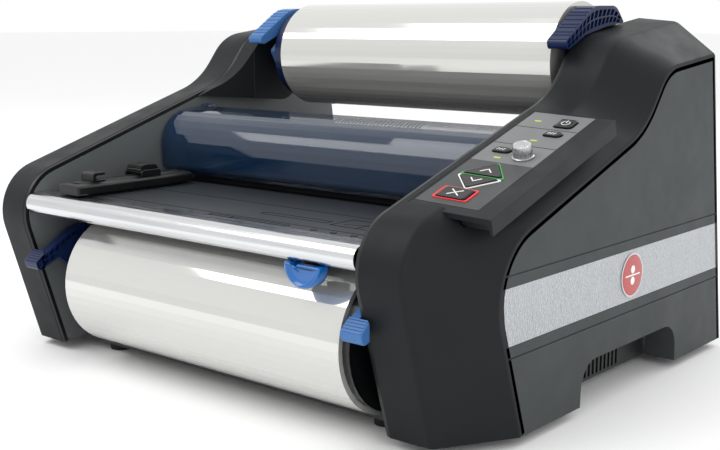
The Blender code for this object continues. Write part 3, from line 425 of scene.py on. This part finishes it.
def fascia(side):
    """The moulded band round a pod: its crease and both edges are rounded, and both edges turn in."""
    inner, crease, panel = (pod_path(INNER_OUTLINE, INNER_TOP_Z), pod_path(CREASE_OUTLINE, CREASE_TOP_Z),
                            pod_path(PANEL_OUTLINE, PANEL_TOP_Z))
    turn_in = 0.0065
    rows = []
    for a_in, a, b, c, c_in in zip(offset(inner, turn_in), inner, crease, panel, offset(panel, turn_in)):
        across = [Vector((side * x, p.x, max(p.y, POD_Z))) for x, p in
                  ((INNER_X, a_in), (INNER_X, a), (CREASE_X, b), (PANEL_X, c), (PANEL_X, c_in))]
        rows.append(filleted(across, (0.0016, 0.0036, 0.0012)))
    mesh = loft(rows)
    shell = bpy.data.objects.new("shell", mesh)
    bpy.context.scene.collection.objects.link(shell)
    wall = shell.modifiers.new("wall", "SOLIDIFY")
    wall.thickness, wall.offset = 0.0018, -1.0
    graph = bpy.context.evaluated_depsgraph_get()
    mesh = bpy.data.meshes.new_from_object(shell.evaluated_get(graph))
    bpy.data.objects.remove(shell, do_unlink=True)
    for vertex in mesh.vertices:
        vertex.co.x = side * min(max(side * vertex.co.x, INNER_X), PANEL_X)
    if side > 0:
        opening = box((0.0064, -0.0040, -0.0130), (0.1200, 0.1720, 0.0300))
        mesh = subtract(mesh, turned_mesh(opening, CONSOLE))
    name = "right_fascia" if side > 0 else "left_fascia"
    piece(name + "_skin", mesh, LOOKS["charcoal"], "frame", replaces=(name,), smooth=40)


def shaded_edge_strip(side):
    """The black strip that fills the joint between a pod's inner edge and its side wall: painted shade standing in
    for the shell's inward rim in shadow.
    """
    path = pod_path(INNER_OUTLINE, INNER_TOP_Z)
    outline = [Vector((p.x, max(p.y, POD_Z))) for p in path]
    deep = [Vector((p.x, max(p.y, POD_Z))) for p in offset(path, SHADE_STRIP_DEPTH)]
    near, far = INNER_X + 0.0004, INNER_X - SHADE_STRIP_OVERHANG
    rows = [[(side * x, p.x, p.y) for p in line] for x, line in
            ((near, offset(outline, 0.0004)), (far, offset(outline, 0.0010)), (far, deep), (near, deep))]
    mesh = loft([*rows, rows[0]])
    piece(("right" if side > 0 else "left") + "_edge_shade_strip", mesh, LOOKS["black_plastic"], "frame",
          smooth=40)


# ---- Levers -------------------------------------------------------------------------------------------
# Outlines are (y, z) from the roll's axis, with a corner radius where there is one. A handle's first four corners
# are its top line, and the rest are its bottom line.
HANDLE = ((-0.0625, 0.0180, 0.003), (-0.0170, 0.0475, 0.040), (0.0235, 0.0480, 0.018), (0.0385, 0.0335, 0.001),
          (0.0345, 0.0328, 0.001), (0.0090, 0.0302, 0.030), (-0.0300, 0.0226, 0.030), (-0.0600, 0.0095, 0.004))
UPPER_ARM = ((-0.0200, 0.0330), (0.0250, 0.0400), (0.0520, 0.0290, 0.006), (0.0540, 0.0155, 0.006),
             (0.0410, 0.0145, 0.006), (0.0250, 0.0260, 0.010), (-0.0200, 0.0240))
LOWER_ARM = ((-0.0480, 0.0250), (-0.0250, 0.0400), (0.0150, 0.0360), (0.0160, -0.0080, 0.012),
             (-0.0160, -0.0120, 0.012), (-0.0300, 0.0100, 0.012))
LOWER_TIP = ((-0.0685, 0.0195, 0.003), (-0.0580, 0.0285, 0.001), (-0.0580, 0.0130, 0.001), (-0.0660, 0.0105, 0.004))
LATCH = ((-0.036, 0.004, 0.004), (-0.022, 0.016, 0.006), (-0.014, 0.006, 0.004), (-0.018, -0.016, 0.004),
         (-0.026, -0.014, 0.004))


def moved(corners, dy, dz):
    return [(c[0] + dy, c[1] + dz, *c[2:]) for c in corners]


def spaced(path, count):
    """Points at equal steps along a path."""
    lengths = [0.0]
    for a, b in zip(path, path[1:]):
        lengths.append(lengths[-1] + (b - a).length)
    points = []
    for k in range(count + 1):
        want = lengths[-1] * k / count
        i = max(j for j in range(len(path) - 1) if lengths[j] <= want + 1e-9)
        points.append(path[i].lerp(path[i + 1], (want - lengths[i]) / (lengths[i + 1] - lengths[i])))
    return points


def lattice(corners, face, depth, columns=15, rows=2):
    """Pockets between a handle's top and bottom lines, cut into one of its faces."""
    top = spaced(rounded(corners[:4], 6, closed=False), columns)
    low = spaced(rounded(corners[:3:-1], 6, closed=False), columns)
    made = []
    for i in range(columns - 1):
        for j in range(rows):
            quad = []
            for a, b in ((0.14, 0.10), (0.86, 0.10), (0.86, 0.90), (0.14, 0.90)):
                up = 0.13 + 0.74 * (j + b) / rows
                along = a + 0.3 * b
                quad.append(low[i].lerp(low[i + 1], along).lerp(top[i].lerp(top[i + 1], along), up))
            made.append(plate(quad, *sorted((face + math.copysign(0.001, depth), face - depth))))
    return joined(*made)


def ribs(corners, low, high, count, share, radius=0.0008):
    """Thin round bars across a share of a handle's top line."""
    line = spaced(rounded(corners[:3], 8, closed=False), 40)
    bars = []
    for k in range(count):
        at = line[1 + round(k / (count - 1) * 38 * share)]
        bars.append(plate(circle(at.x, at.y, radius, 10), low + 0.0012, high - 0.0012))
    return joined(*bars)


def lever_plate(low, high, side):
    """Where the plate on the machine's inner side of a lever stands."""
    return (low, low + LEVER_PLATE) if side > 0 else (high - LEVER_PLATE, high)


def handle_body(node):
    return node.removesuffix("_lever") + "_handle"


def upper_lever(name, look, side, node):
    """An arched handle over a roll's end, ribbed where the fingers lift it."""
    low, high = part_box(node)[0].x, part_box(node)[1].x
    corners = moved(HANDLE, *UPPER_ROLL)
    handle = plate(rounded(corners, 8), low, high)
    if side > 0:
        handle = subtract(handle, lattice(corners, high, 0.0050))
    arm_low, arm_high = lever_plate(low, high, side)
    arm = plate(rounded(moved(UPPER_ARM, *UPPER_ROLL), 6), arm_low + 0.0004, arm_high - 0.0004)
    body = handle_body(node)
    piece(name, handle, LOOKS[look], body, bevel=0.0007, replaces=(node,))
    piece(name + "_arm", arm, LOOKS[look], body, bevel=0.0006)
    piece(name + "_ribs", ribs(corners, low, high, 9, 0.55), LOOKS[look], body)


def lower_lever(name, look, side, node):
    """A thin handle and hub plate at a roll's end, with a wide ribbed tip that reaches forward."""
    low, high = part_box(node)[0].x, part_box(node)[1].x
    y, z = LOWER_ROLL
    corners = moved(HANDLE, y - 0.0060, z + 0.0012)
    near, far = lever_plate(low, high, side)
    handle = plate(rounded(corners, 8), near, far)
    if side < 0:
        handle = subtract(handle, lattice(corners, far, 0.0040))
    body = handle_body(node)
    piece(name, handle, LOOKS[look], body, bevel=0.0006, replaces=(node,))
    hub = subtract(plate(rounded(moved(LOWER_ARM, y, z), 6), near + 0.0003, far - 0.0003),
                   plate(circle(y, z, 0.0125, 40), -0.3, 0.3))
    piece(name + "_hub", hub, LOOKS[look], body, bevel=0.0006)
    tip = plate(rounded(moved(LOWER_TIP, y, z), 6), low, high)
    piece(name + "_tip", tip, LOOKS[look], body, bevel=0.0009, segments=3)
    bars = []
    for k in range(5):
        bar = box((low + 0.0012, -0.0006, -0.0006), (high - 0.0012, 0.0006, 0.0006))
        at = Vector(LOWER_TIP[0][:2]).lerp(Vector(LOWER_TIP[1][:2]), (k + 0.6) / 5)
        bars.append(turned_mesh(bar, Matrix.Translation((0, y + at.x, z + at.y))
                                @ Matrix.Rotation(math.radians(40), 4, "X")))
    piece(name + "_ribs", joined(*bars), LOOKS[look], body)


def circle(a, b, radius, steps=48):
    return [Vector((a + radius * math.cos(math.tau * k / steps), b + radius * math.sin(math.tau * k / steps)))
            for k in range(steps)]


def levers():
    upper_lever("upper_right_grip", "navy", 1, "upper_right_lever")
    upper_lever("upper_left_grip", "light_blue", -1, "upper_left_lever")
    lower_lever("lower_right_grip", "light_blue", 1, "lower_right_lever")
    lower_lever("lower_left_grip", "navy", -1, "lower_left_lever")
    collar = lathe(((0.0180, -0.1700), (0.0180, -0.1575), (0.0165, -0.1560), (0.0125, -0.1560), (0.0125, -0.1700)),
                   (0, *UPPER_ROLL))
    piece("upper_left_collar", collar, LOOKS["gloss_black"], "frame")
    latch = plate(rounded(moved(LATCH, *UPPER_ROLL), 6), -0.1668, -0.1600)
    piece("upper_left_latch", latch, LOOKS["light_blue"], "frame", bevel=0.0008)


# ---- Table, guide, slitter and shield -----------------------------------------------------------------
def stroke(points, width, low, high):
    """Flat bars along a line of points."""
    made = []
    for a, b in zip(points, points[1:]):
        a, b = Vector(a), Vector(b)
        along = (b - a).normalized()
        out = Vector((-along.y, along.x)) * width / 2
        a, b = a - along * width / 2, b + along * width / 2
        made.append(plate([a - out, b - out, b + out, a + out], low, high, "z"))
    return joined(*made)


def table_marks():
    """Plain printed outlines, painted shadow bars in the grooves and three eyelets on the table."""
    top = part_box("feed_table")[1].z
    lines = [((0.010, -0.1910), (0.098, -0.1910), (0.098, -0.1860), (0.010, -0.1860), (0.010, -0.1910)),
             ((0.040, -0.1600), (0.112, -0.1600), (0.112, -0.1520), (0.040, -0.1520), (0.040, -0.1600)),
             ((0.120, -0.1640), (0.172, -0.1640), (0.172, -0.1360), (0.120, -0.1360), (0.120, -0.1640)),
             ((0.128, -0.1560), (0.164, -0.1440)), ((0.146, -0.1640), (0.146, -0.1360))]
    mesh = joined(*[stroke(line, 0.0011, top - 0.0001, top + 0.00008) for line in lines])
    piece("table_print", mesh, LOOKS["ink_line"], "frame")
    x = TABLE_HALF_WIDTH
    # Painted shadow: a thin black bar sunk just under the table top along each groove darkens it.
    shadow_bars = joined(*[box((-x, y - 0.0010, top - 0.0009), (x, y + 0.0010, top - 0.00015)) for y in TABLE_GROOVES])
    piece("table_groove_shadow", shadow_bars, LOOKS["ink_line"], "frame")
    rim = ((0.0028, top - 0.0006), (0.0028, top + 0.0003), (0.0020, top + 0.0003), (0.0014, top - 0.0006))
    eyelets = joined(*[lathe(rim, (x, -0.1895, 0), "z", 24) for x in (0.126, 0.146, 0.166)])
    piece("table_eyelets", eyelets, LOOKS["gloss_black"], "frame")


def guide():
    """The paper guide: a rounded bar with a ridge, a hooked clip, two ears and a knurled lock."""
    black = LOOKS["black_plastic"]
    low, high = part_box("paper_guide")
    base, top = low.z, low.z + GUIDE_DEPTH
    across = ((low.x, base), (high.x, base), (high.x, top - 0.0012, 0.003), (high.x - 0.0060, top, 0.003),
              (low.x + 0.0060, top, 0.003), (low.x, top - 0.0012, 0.003))
    bar = plate(rounded(across, 5), low.y, high.y, "y")
    crest = ((low.x + 0.0075, top - 0.001), (high.x - 0.0075, top - 0.001), (high.x - 0.0095, top + 0.0012, 0.001),
             (low.x + 0.0095, top + 0.0012, 0.001))
    ridge = plate(rounded(crest, 3), low.y + 0.008, high.y - 0.008, "y")
    piece("guide_bar", bar, black, "guide", bevel=0.0020, segments=3, replaces=("paper_guide",))
    piece("guide_ridge", ridge, black, "guide", bevel=0.0006)
    hook = rounded(((-0.1880, top), (-0.1880, top + 0.0085, 0.003), (-0.1740, top + 0.0085, 0.0012),
                    (-0.1740, top + 0.0060, 0.001), (-0.1845, top + 0.0055, 0.002), (-0.1845, top + 0.0018, 0.0015),
                    (-0.1740, top + 0.0018), (-0.1740, top)), 4)
    piece("guide_clip", plate(hook, -0.1640, -0.1460), black, "guide", bevel=0.0006)
    ear = rounded(((-0.1345, top), (-0.1345, top + 0.006, 0.003), (-0.1115, top + 0.006, 0.003), (-0.1115, top)), 5)
    ears = joined(*[plate(ear, x, x + 0.002) for x in (-0.1680, -0.1445)])
    piece("guide_ears", ears, black, "guide", bevel=0.0004)
    grip_low, grip_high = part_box("guide_lock")
    middle, half = (grip_low + grip_high) / 2, (grip_high - grip_low) / 2
    teeth = []
    for k in range(96):
        swell = 0.94 + 0.06 * (k % 4 < 2)
        angle = math.tau * k / 96
        y, z = [swell * math.copysign(abs(c) ** 0.6, c) for c in (math.cos(angle), math.sin(angle))]
        teeth.append(Vector((middle.y + half.y * y, middle.z + half.z * z)))
    piece("guide_thumb_lock", plate(teeth, grip_low.x, grip_high.x), black, "lock",
          bevel=0.0004, replaces=("guide_lock",), smooth=20)


def slitter():
    """A half-round grip under the lip with a dished front and a notch, and a shoe behind it."""
    low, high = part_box("film_slitter")
    x, radius, top = (low.x + high.x) / 2, (high.x - low.x) / 2, high.z
    rows = []
    for inset, y in ((0.0022, high.y), (0.0004, high.y - 0.0014), (0.0, high.y - 0.004), (0.0, low.y + 0.0036),
                     (0.0006, low.y + 0.0012), (0.0020, low.y + 0.0002), (0.0034, low.y), (0.0052, low.y + 0.0016),
                     (0.0090, low.y + 0.0030)):
        r, up = radius - inset, top - 0.4 * inset
        arc = [(x + r * math.cos(math.pi * k / 32), y, up - r * math.sin(math.pi * k / 32)) for k in range(33)]
        notch = [(x - r + 0.0065 * r / radius, y, up), (x - r + 0.0088 * r / radius, y, up - 0.0030),
                 (x - 0.0060, y, up - 0.0034), (x - 0.0035, y, up)]
        rows.append([*arc, *notch])
    piece("slitter_grip", loft(rows, closed=True, capped=True), LOOKS["bright_blue"], "slitter",
          replaces=("film_slitter",), smooth=50)
    outline = rounded(((x - 0.004, top - 0.004), (x + 0.012, top - 0.004), (x + 0.012, top + 0.0006, 0.0004),
                       (x - 0.002, top + 0.0006, 0.0004)), 3)
    shoe = plate(outline, high.y - 0.010, high.y + 0.008, "y")
    piece("slitter_shoe", shoe, LOOKS["black_plastic"], "slitter", bevel=0.0004)


def shield_parts():
    """A row of slanted vent bars on the shield's flat top."""
    bars = []
    for k in range(24):
        bar = box((-0.0007, -0.0080, -0.0004), (0.0007, 0.0080, 0.0003))
        bars.append(turned_mesh(bar, Matrix.Translation((0.012 + 0.0042 * k, -0.0330, 0.22246))
                                @ Matrix.Rotation(0.097, 4, "X") @ Matrix.Rotation(math.radians(24), 4, "Z")))
    piece("shield_vents", joined(*bars), LOOKS["label_light"], "shield", bevel=0.0001)


# ---- Badges -------------------------------------------------------------------------------------------
def badge(side):
    """A domed red disc with a bright rim and a plain mark, on a pod's strip."""
    r = BADGE_RADIUS
    quarter = [math.pi / 2 * k / 10 for k in range(10)]
    dome = [(r, 0.0), (r, 0.0006), *[((r - 0.0016) * math.cos(a), 0.0006 + 0.0010 * math.sin(a)) for a in quarter],
            (0.00001, 0.0016), (0.00001, 0.0)]
    rim = [(r + 0.0002, 0.0), (r + 0.0002, 0.0009), (r - 0.0006, 0.0013), (r - 0.0014, 0.0009), (r - 0.0014, 0.0)]
    place = (Matrix.Translation((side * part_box("right_side_badge")[0].x, *BADGE_PLACE))
             @ Matrix.Diagonal((side * BADGE_RISE, 1, 1, 1)))
    name = "right" if side > 0 else "left"
    for part, profile, look, node in (("dome", dome, "badge_red", (f"{name}_side_badge",)),
                                      ("rim", rim, "knob_silver", ())):
        mesh = turned_mesh(lathe(profile, (0, 0, 0), steps=72), place)
        piece(f"{name}_badge_{part}", mesh, LOOKS[look], "frame", replaces=node)
    bar = [Vector(p) for p in ((-0.0125, -0.0006), (0.0125, -0.0006), (0.0125, 0.0006), (-0.0125, 0.0006))]
    marks = [plate(outline, 0.0011, 0.00185)
             for outline in (circle(0, 0.0048, 0.0034, 32), circle(0, -0.0048, 0.0034, 32), bar)]
    piece(f"{name}_badge_mark", turned_mesh(joined(*marks), place), LOOKS["ink_white"], "frame",
          bevel=0.0001)


# ---- Console ------------------------------------------------------------------------------------------
def key_rectangle(u, v, width, height, radius):
    return ((u - width / 2, v - height / 2, radius), (u + width / 2, v - height / 2, radius),
            (u + width / 2, v + height / 2, radius), (u - width / 2, v + height / 2, radius))


KEYS = {
    "power": key_rectangle(0.0465, 0.1530, 0.0155, 0.0145, 0.0030),
    "temperature": key_rectangle(0.0468, 0.1320, 0.0150, 0.0080, 0.0035),
    "fan": key_rectangle(0.0243, 0.0945, 0.0150, 0.0080, 0.0035),
    "forward": ((0.0170, 0.0500, 0.0012), (0.0520, 0.0500, 0.0012), (0.0360, 0.0705, 0.0012)),
    "reverse": ((0.0520, 0.0470, 0.0012), (0.0170, 0.0470, 0.0012), (0.0350, 0.0285, 0.0012)),
    "stop": key_rectangle(0.0328, 0.0180, 0.0250, 0.0155, 0.0020),
}


KEY_OUTLINES = {"forward": "ring_green", "reverse": "ink_white", "stop": "ring_red"}


def middle_of(corners):
    return sum((Vector(c[:2]) for c in corners), Vector((0.0, 0.0))) / len(corners)


def grown(corners, by):
    """An outline scaled about its middle, so that its edges move out by about the given distance."""
    middle = middle_of(corners)
    reach = max((Vector(c[:2]) - middle).length for c in corners)
    scale = 1 + by / reach * 1.9
    return [(*(middle + (Vector(c[:2]) - middle) * scale), c[2] * scale) for c in corners]


def on_console(mesh):
    return turned_mesh(mesh, CONSOLE)


def icon(name, middle):
    """A power ring, a cross, an arrowhead or three slanted dashes."""
    low, high = BUTTON_RISE - 0.0003, BUTTON_RISE + 0.0001

    def drawn(*lines, width=ICON_LINE):
        return joined(*[stroke([(middle.x + u, middle.y + v) for u, v in line], width, low, high) for line in lines])

    if name == "power":
        turns = [math.radians(35 + 290 * k / 20) for k in range(21)]
        ring = [(0.0034 * math.sin(a), 0.0034 * math.cos(a)) for a in turns]
        return drawn(ring, ((0, 0.0010), (0, 0.0044)), width=0.0007)
    if name == "stop":
        return drawn(*[((-0.0045, -s * 0.0038), (0.0045, s * 0.0038)) for s in (-1, 1)])
    if name in ("forward", "reverse"):
        s = 1 if name == "forward" else -1
        return drawn(((-0.0045, -s * 0.0020), (0, s * 0.0026), (0.0045, -s * 0.0020)))
    return drawn(*[((-0.0040 + d, -0.0012), (-0.0028 + d, 0.0012)) for d in (0, 0.0026, 0.0052)], width=0.0006)


def keys():
    """Soft black key caps with white icons, three of them in a coloured outline."""
    top = BUTTON_RISE
    levels = ((0.0, -BUTTON_DEPTH), (0.0, top - 0.0006), (-0.0005, top), (-0.0016, top), (-0.0024, top - 0.0002))
    for name, corners in KEYS.items():
        rows = [[(p.x, p.y, w) for p in rounded(grown(corners, shrink), 6)] for shrink, w in levels]
        piece(f"{name}_cap", on_console(loft(rows, closed=True, capped=True)), LOOKS["gloss_black"], f"{name}_key",
              replaces=(f"{name}_button",), smooth=50)
        piece(f"{name}_icon", on_console(icon(name, middle_of(corners))), LOOKS["ink_white"], f"{name}_key")
        if name in KEY_OUTLINES:
            outer = plate(rounded(grown(corners, OUTLINE_GROWTH), 6), -0.0002, 0.0007, "z")
            hole = plate(rounded(grown(corners, 0.00045), 6), -0.01, 0.01, "z")
            piece(f"{name}_outline", on_console(subtract(outer, hole)), LOOKS[KEY_OUTLINES[name]], "frame",
                  bevel=0.0002)


def knob():
    """A silver knob on a base ring, with fine grooves down its side."""
    r = KNOB_RADIUS
    profile = [(r + 0.0012, 0.0003), (r + 0.0012, 0.0012), (r + 0.0004, 0.0016), (r + 0.0002, 0.0098),
               (r - 0.0008, 0.0110), (r - 0.0020, 0.0111), (r - 0.0026, 0.0107), (0.00001, 0.0105), (0.00001, 0.0003)]
    mesh = lathe(profile, (0, 0, 0), "z", 96)
    for vertex in mesh.vertices:
        spread = math.hypot(vertex.co.x, vertex.co.y)
        if r - 0.0009 < spread < r + 0.0006 and vertex.co.z > 0.0014:
            swell = 1 - 0.035 * (round(math.atan2(vertex.co.y, vertex.co.x) / math.tau * 96) % 3 == 0)
            vertex.co.x, vertex.co.y = vertex.co.x * swell, vertex.co.y * swell
    piece("knob_cap", on_console(turned_mesh(mesh, Matrix.Translation((KNOB_U, KNOB_V, 0)))), LOOKS["knob_silver"],
          "knob", replaces=("speed_knob",), smooth=35)


def console():
    keys()
    lines = joined(*[stroke(((0.0088, v), (0.0629, v)), 0.0007, -0.0001, 0.00012) for v in (0.1409, 0.1079)])
    piece("label_lines", on_console(lines), LOOKS["ink_black"], "frame")
    lamps = joined(*[plate(rounded(key_rectangle(u, v, 0.0062, 0.0022, 0.0009), 4), -0.0003, 0.0004, "z")
                     for u, v in ((0.0212, 0.1534), (0.0380, 0.1180), (0.0275, 0.0820))])
    piece("console_lamps", on_console(lamps), LOOKS["lamp"], "frame", bevel=0.0002)
    knob()
    # A soft rounded shell in place of the CAD body, hollow below, with a finger recess under its front.
    low, high = (0.0068, -0.0085), (0.0800, 0.1715)
    shell = box((low[0], low[1], -0.0125), (high[0], high[1], 0.0))
    seat = box((0.0082, 0.0012, -0.0011), (0.0635, 0.1703, 0.01))
    mouth = box((low[0] + 0.002, low[1] + 0.002, -0.03), (0.0465, high[1] - 0.002, -0.0026))
    hollow = box((0.0460, low[1] + 0.009, -0.0105), (high[0] - 0.002, high[1] - 0.002, -0.0026))
    recess = rounded(((0.0300, -0.03), (high[0] - 0.0025, -0.03), (high[0] - 0.0025, -0.0046, 0.004),
                      (0.0300, -0.0046, 0.001)), 6)
    finger = plate(recess, low[1] - 0.01, low[1] + 0.0075, "y")
    holes = [plate(rounded(grown(c, 0.0006), 4), -0.02, 0.01, "z") for c in KEYS.values()]
    spindle = plate(circle(KNOB_U, KNOB_V, KNOB_RADIUS - 0.0035, 24), -0.02, 0.01, "z")
    body = subtract(shell, seat, mouth, hollow, finger, *holes, spindle)
    # Painted shade: a black plate set at the back of the finger recess darkens it.
    recess_shade_outline = rounded(((0.0312, -0.0122), (high[0] - 0.0034, -0.0122), (high[0] - 0.0034, -0.0058, 0.003),
                       (0.0312, -0.0058, 0.001)), 6)
    recess_shade_plate = plate(recess_shade_outline, low[1] + 0.0060, low[1] + 0.0072, "y")
    piece("console_recess_shade", on_console(recess_shade_plate), LOOKS["ink_black"], "frame", bevel=0.0002)
    piece("console_shell", on_console(body), LOOKS["console_grey"], "frame", bevel=0.0011, segments=3,
          replaces=("console_body",))


# ---- Everything that keeps its CAD shape --------------------------------------------------------------
def dress():
    for name, node in NODES.items():
        node.data.materials.clear()
        node.data.materials.append(LOOKS[SLOT_OF[name]])
        node.data.shade_smooth()
        node.data.set_sharp_from_angle(angle=math.radians(28))


def screws():
    """Dished screw heads on the rear cover."""
    profile = ((0.0032, 0.0), (0.0030, 0.0010), (0.0020, 0.0014), (0.0016, 0.0008), (0.0004, 0.0008), (0.0004, 0.0))
    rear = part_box("rear_cover")[1].y
    facing_back = Matrix.Rotation(math.radians(-90), 4, "X")
    heads = [turned_mesh(lathe(profile, (0, 0, 0), "z", 24), Matrix.Translation((x, rear - 0.0002, z)) @ facing_back)
             for x in (-0.185, 0.0, 0.185) for z in (0.020, 0.060)]
    piece("rear_screws", joined(*heads), LOOKS["steel"], "frame")


def studio():
    floor = bpy.data.objects.new("floor", plate([(-30, -30), (30, -30), (30, 30), (-30, 30)], -0.02, 0.0, "z"))
    look = Look("floor", (0.93, 0.93, 0.93), 0.85, specular_ior_level=0.2)
    look.mottle(look.noise(3, detail=2.0), 0.004)
    floor.data.materials.append(look.mat)
    bpy.context.scene.collection.objects.link(floor)
    world = bpy.data.worlds.new("studio")
    world.use_nodes = True
    world.node_tree.nodes["Background"].inputs["Color"].default_value = (1, 1, 1, 1)
    world.node_tree.nodes["Background"].inputs["Strength"].default_value = 1.0
    bpy.context.scene.world = world
    aim = Vector((0, 0, 0.14))
    for name, place, size, power in (("key", (-0.9, -1.2, 2.0), 1.6, 24), ("fill", (1.9, -1.0, 0.9), 1.4, 8),
                                     ("rim", (0.6, 1.8, 1.6), 1.4, 12)):
        lamp = bpy.data.lights.new(name, "AREA")
        lamp.size, lamp.energy = size, power
        obj = bpy.data.objects.new(name, lamp)
        obj.location = place
        obj.rotation_euler = (aim - Vector(place)).to_track_quat("-Z", "Y").to_euler()
        bpy.context.scene.collection.objects.link(obj)


def camera():
    lens = bpy.data.cameras.new("camera")
    lens.lens, lens.sensor_width = 57.45, 36.0
    obj = bpy.data.objects.new("camera", lens)
    obj.location = (0.70503, -0.82044, 0.30995)
    obj.rotation_euler = (math.radians(90 - 10.01), 0.0, math.radians(40.195))
    bpy.context.scene.collection.objects.link(obj)
    bpy.context.scene.camera = obj


dress()
for pod in (-1, 1):
    fascia(pod)
    shaded_edge_strip(pod)
    badge(pod)
levers()
table_marks()
guide()
slitter()
shield_parts()
console()
screws()
studio()
camera()
bpy.context.scene.view_settings.view_transform = "Standard"
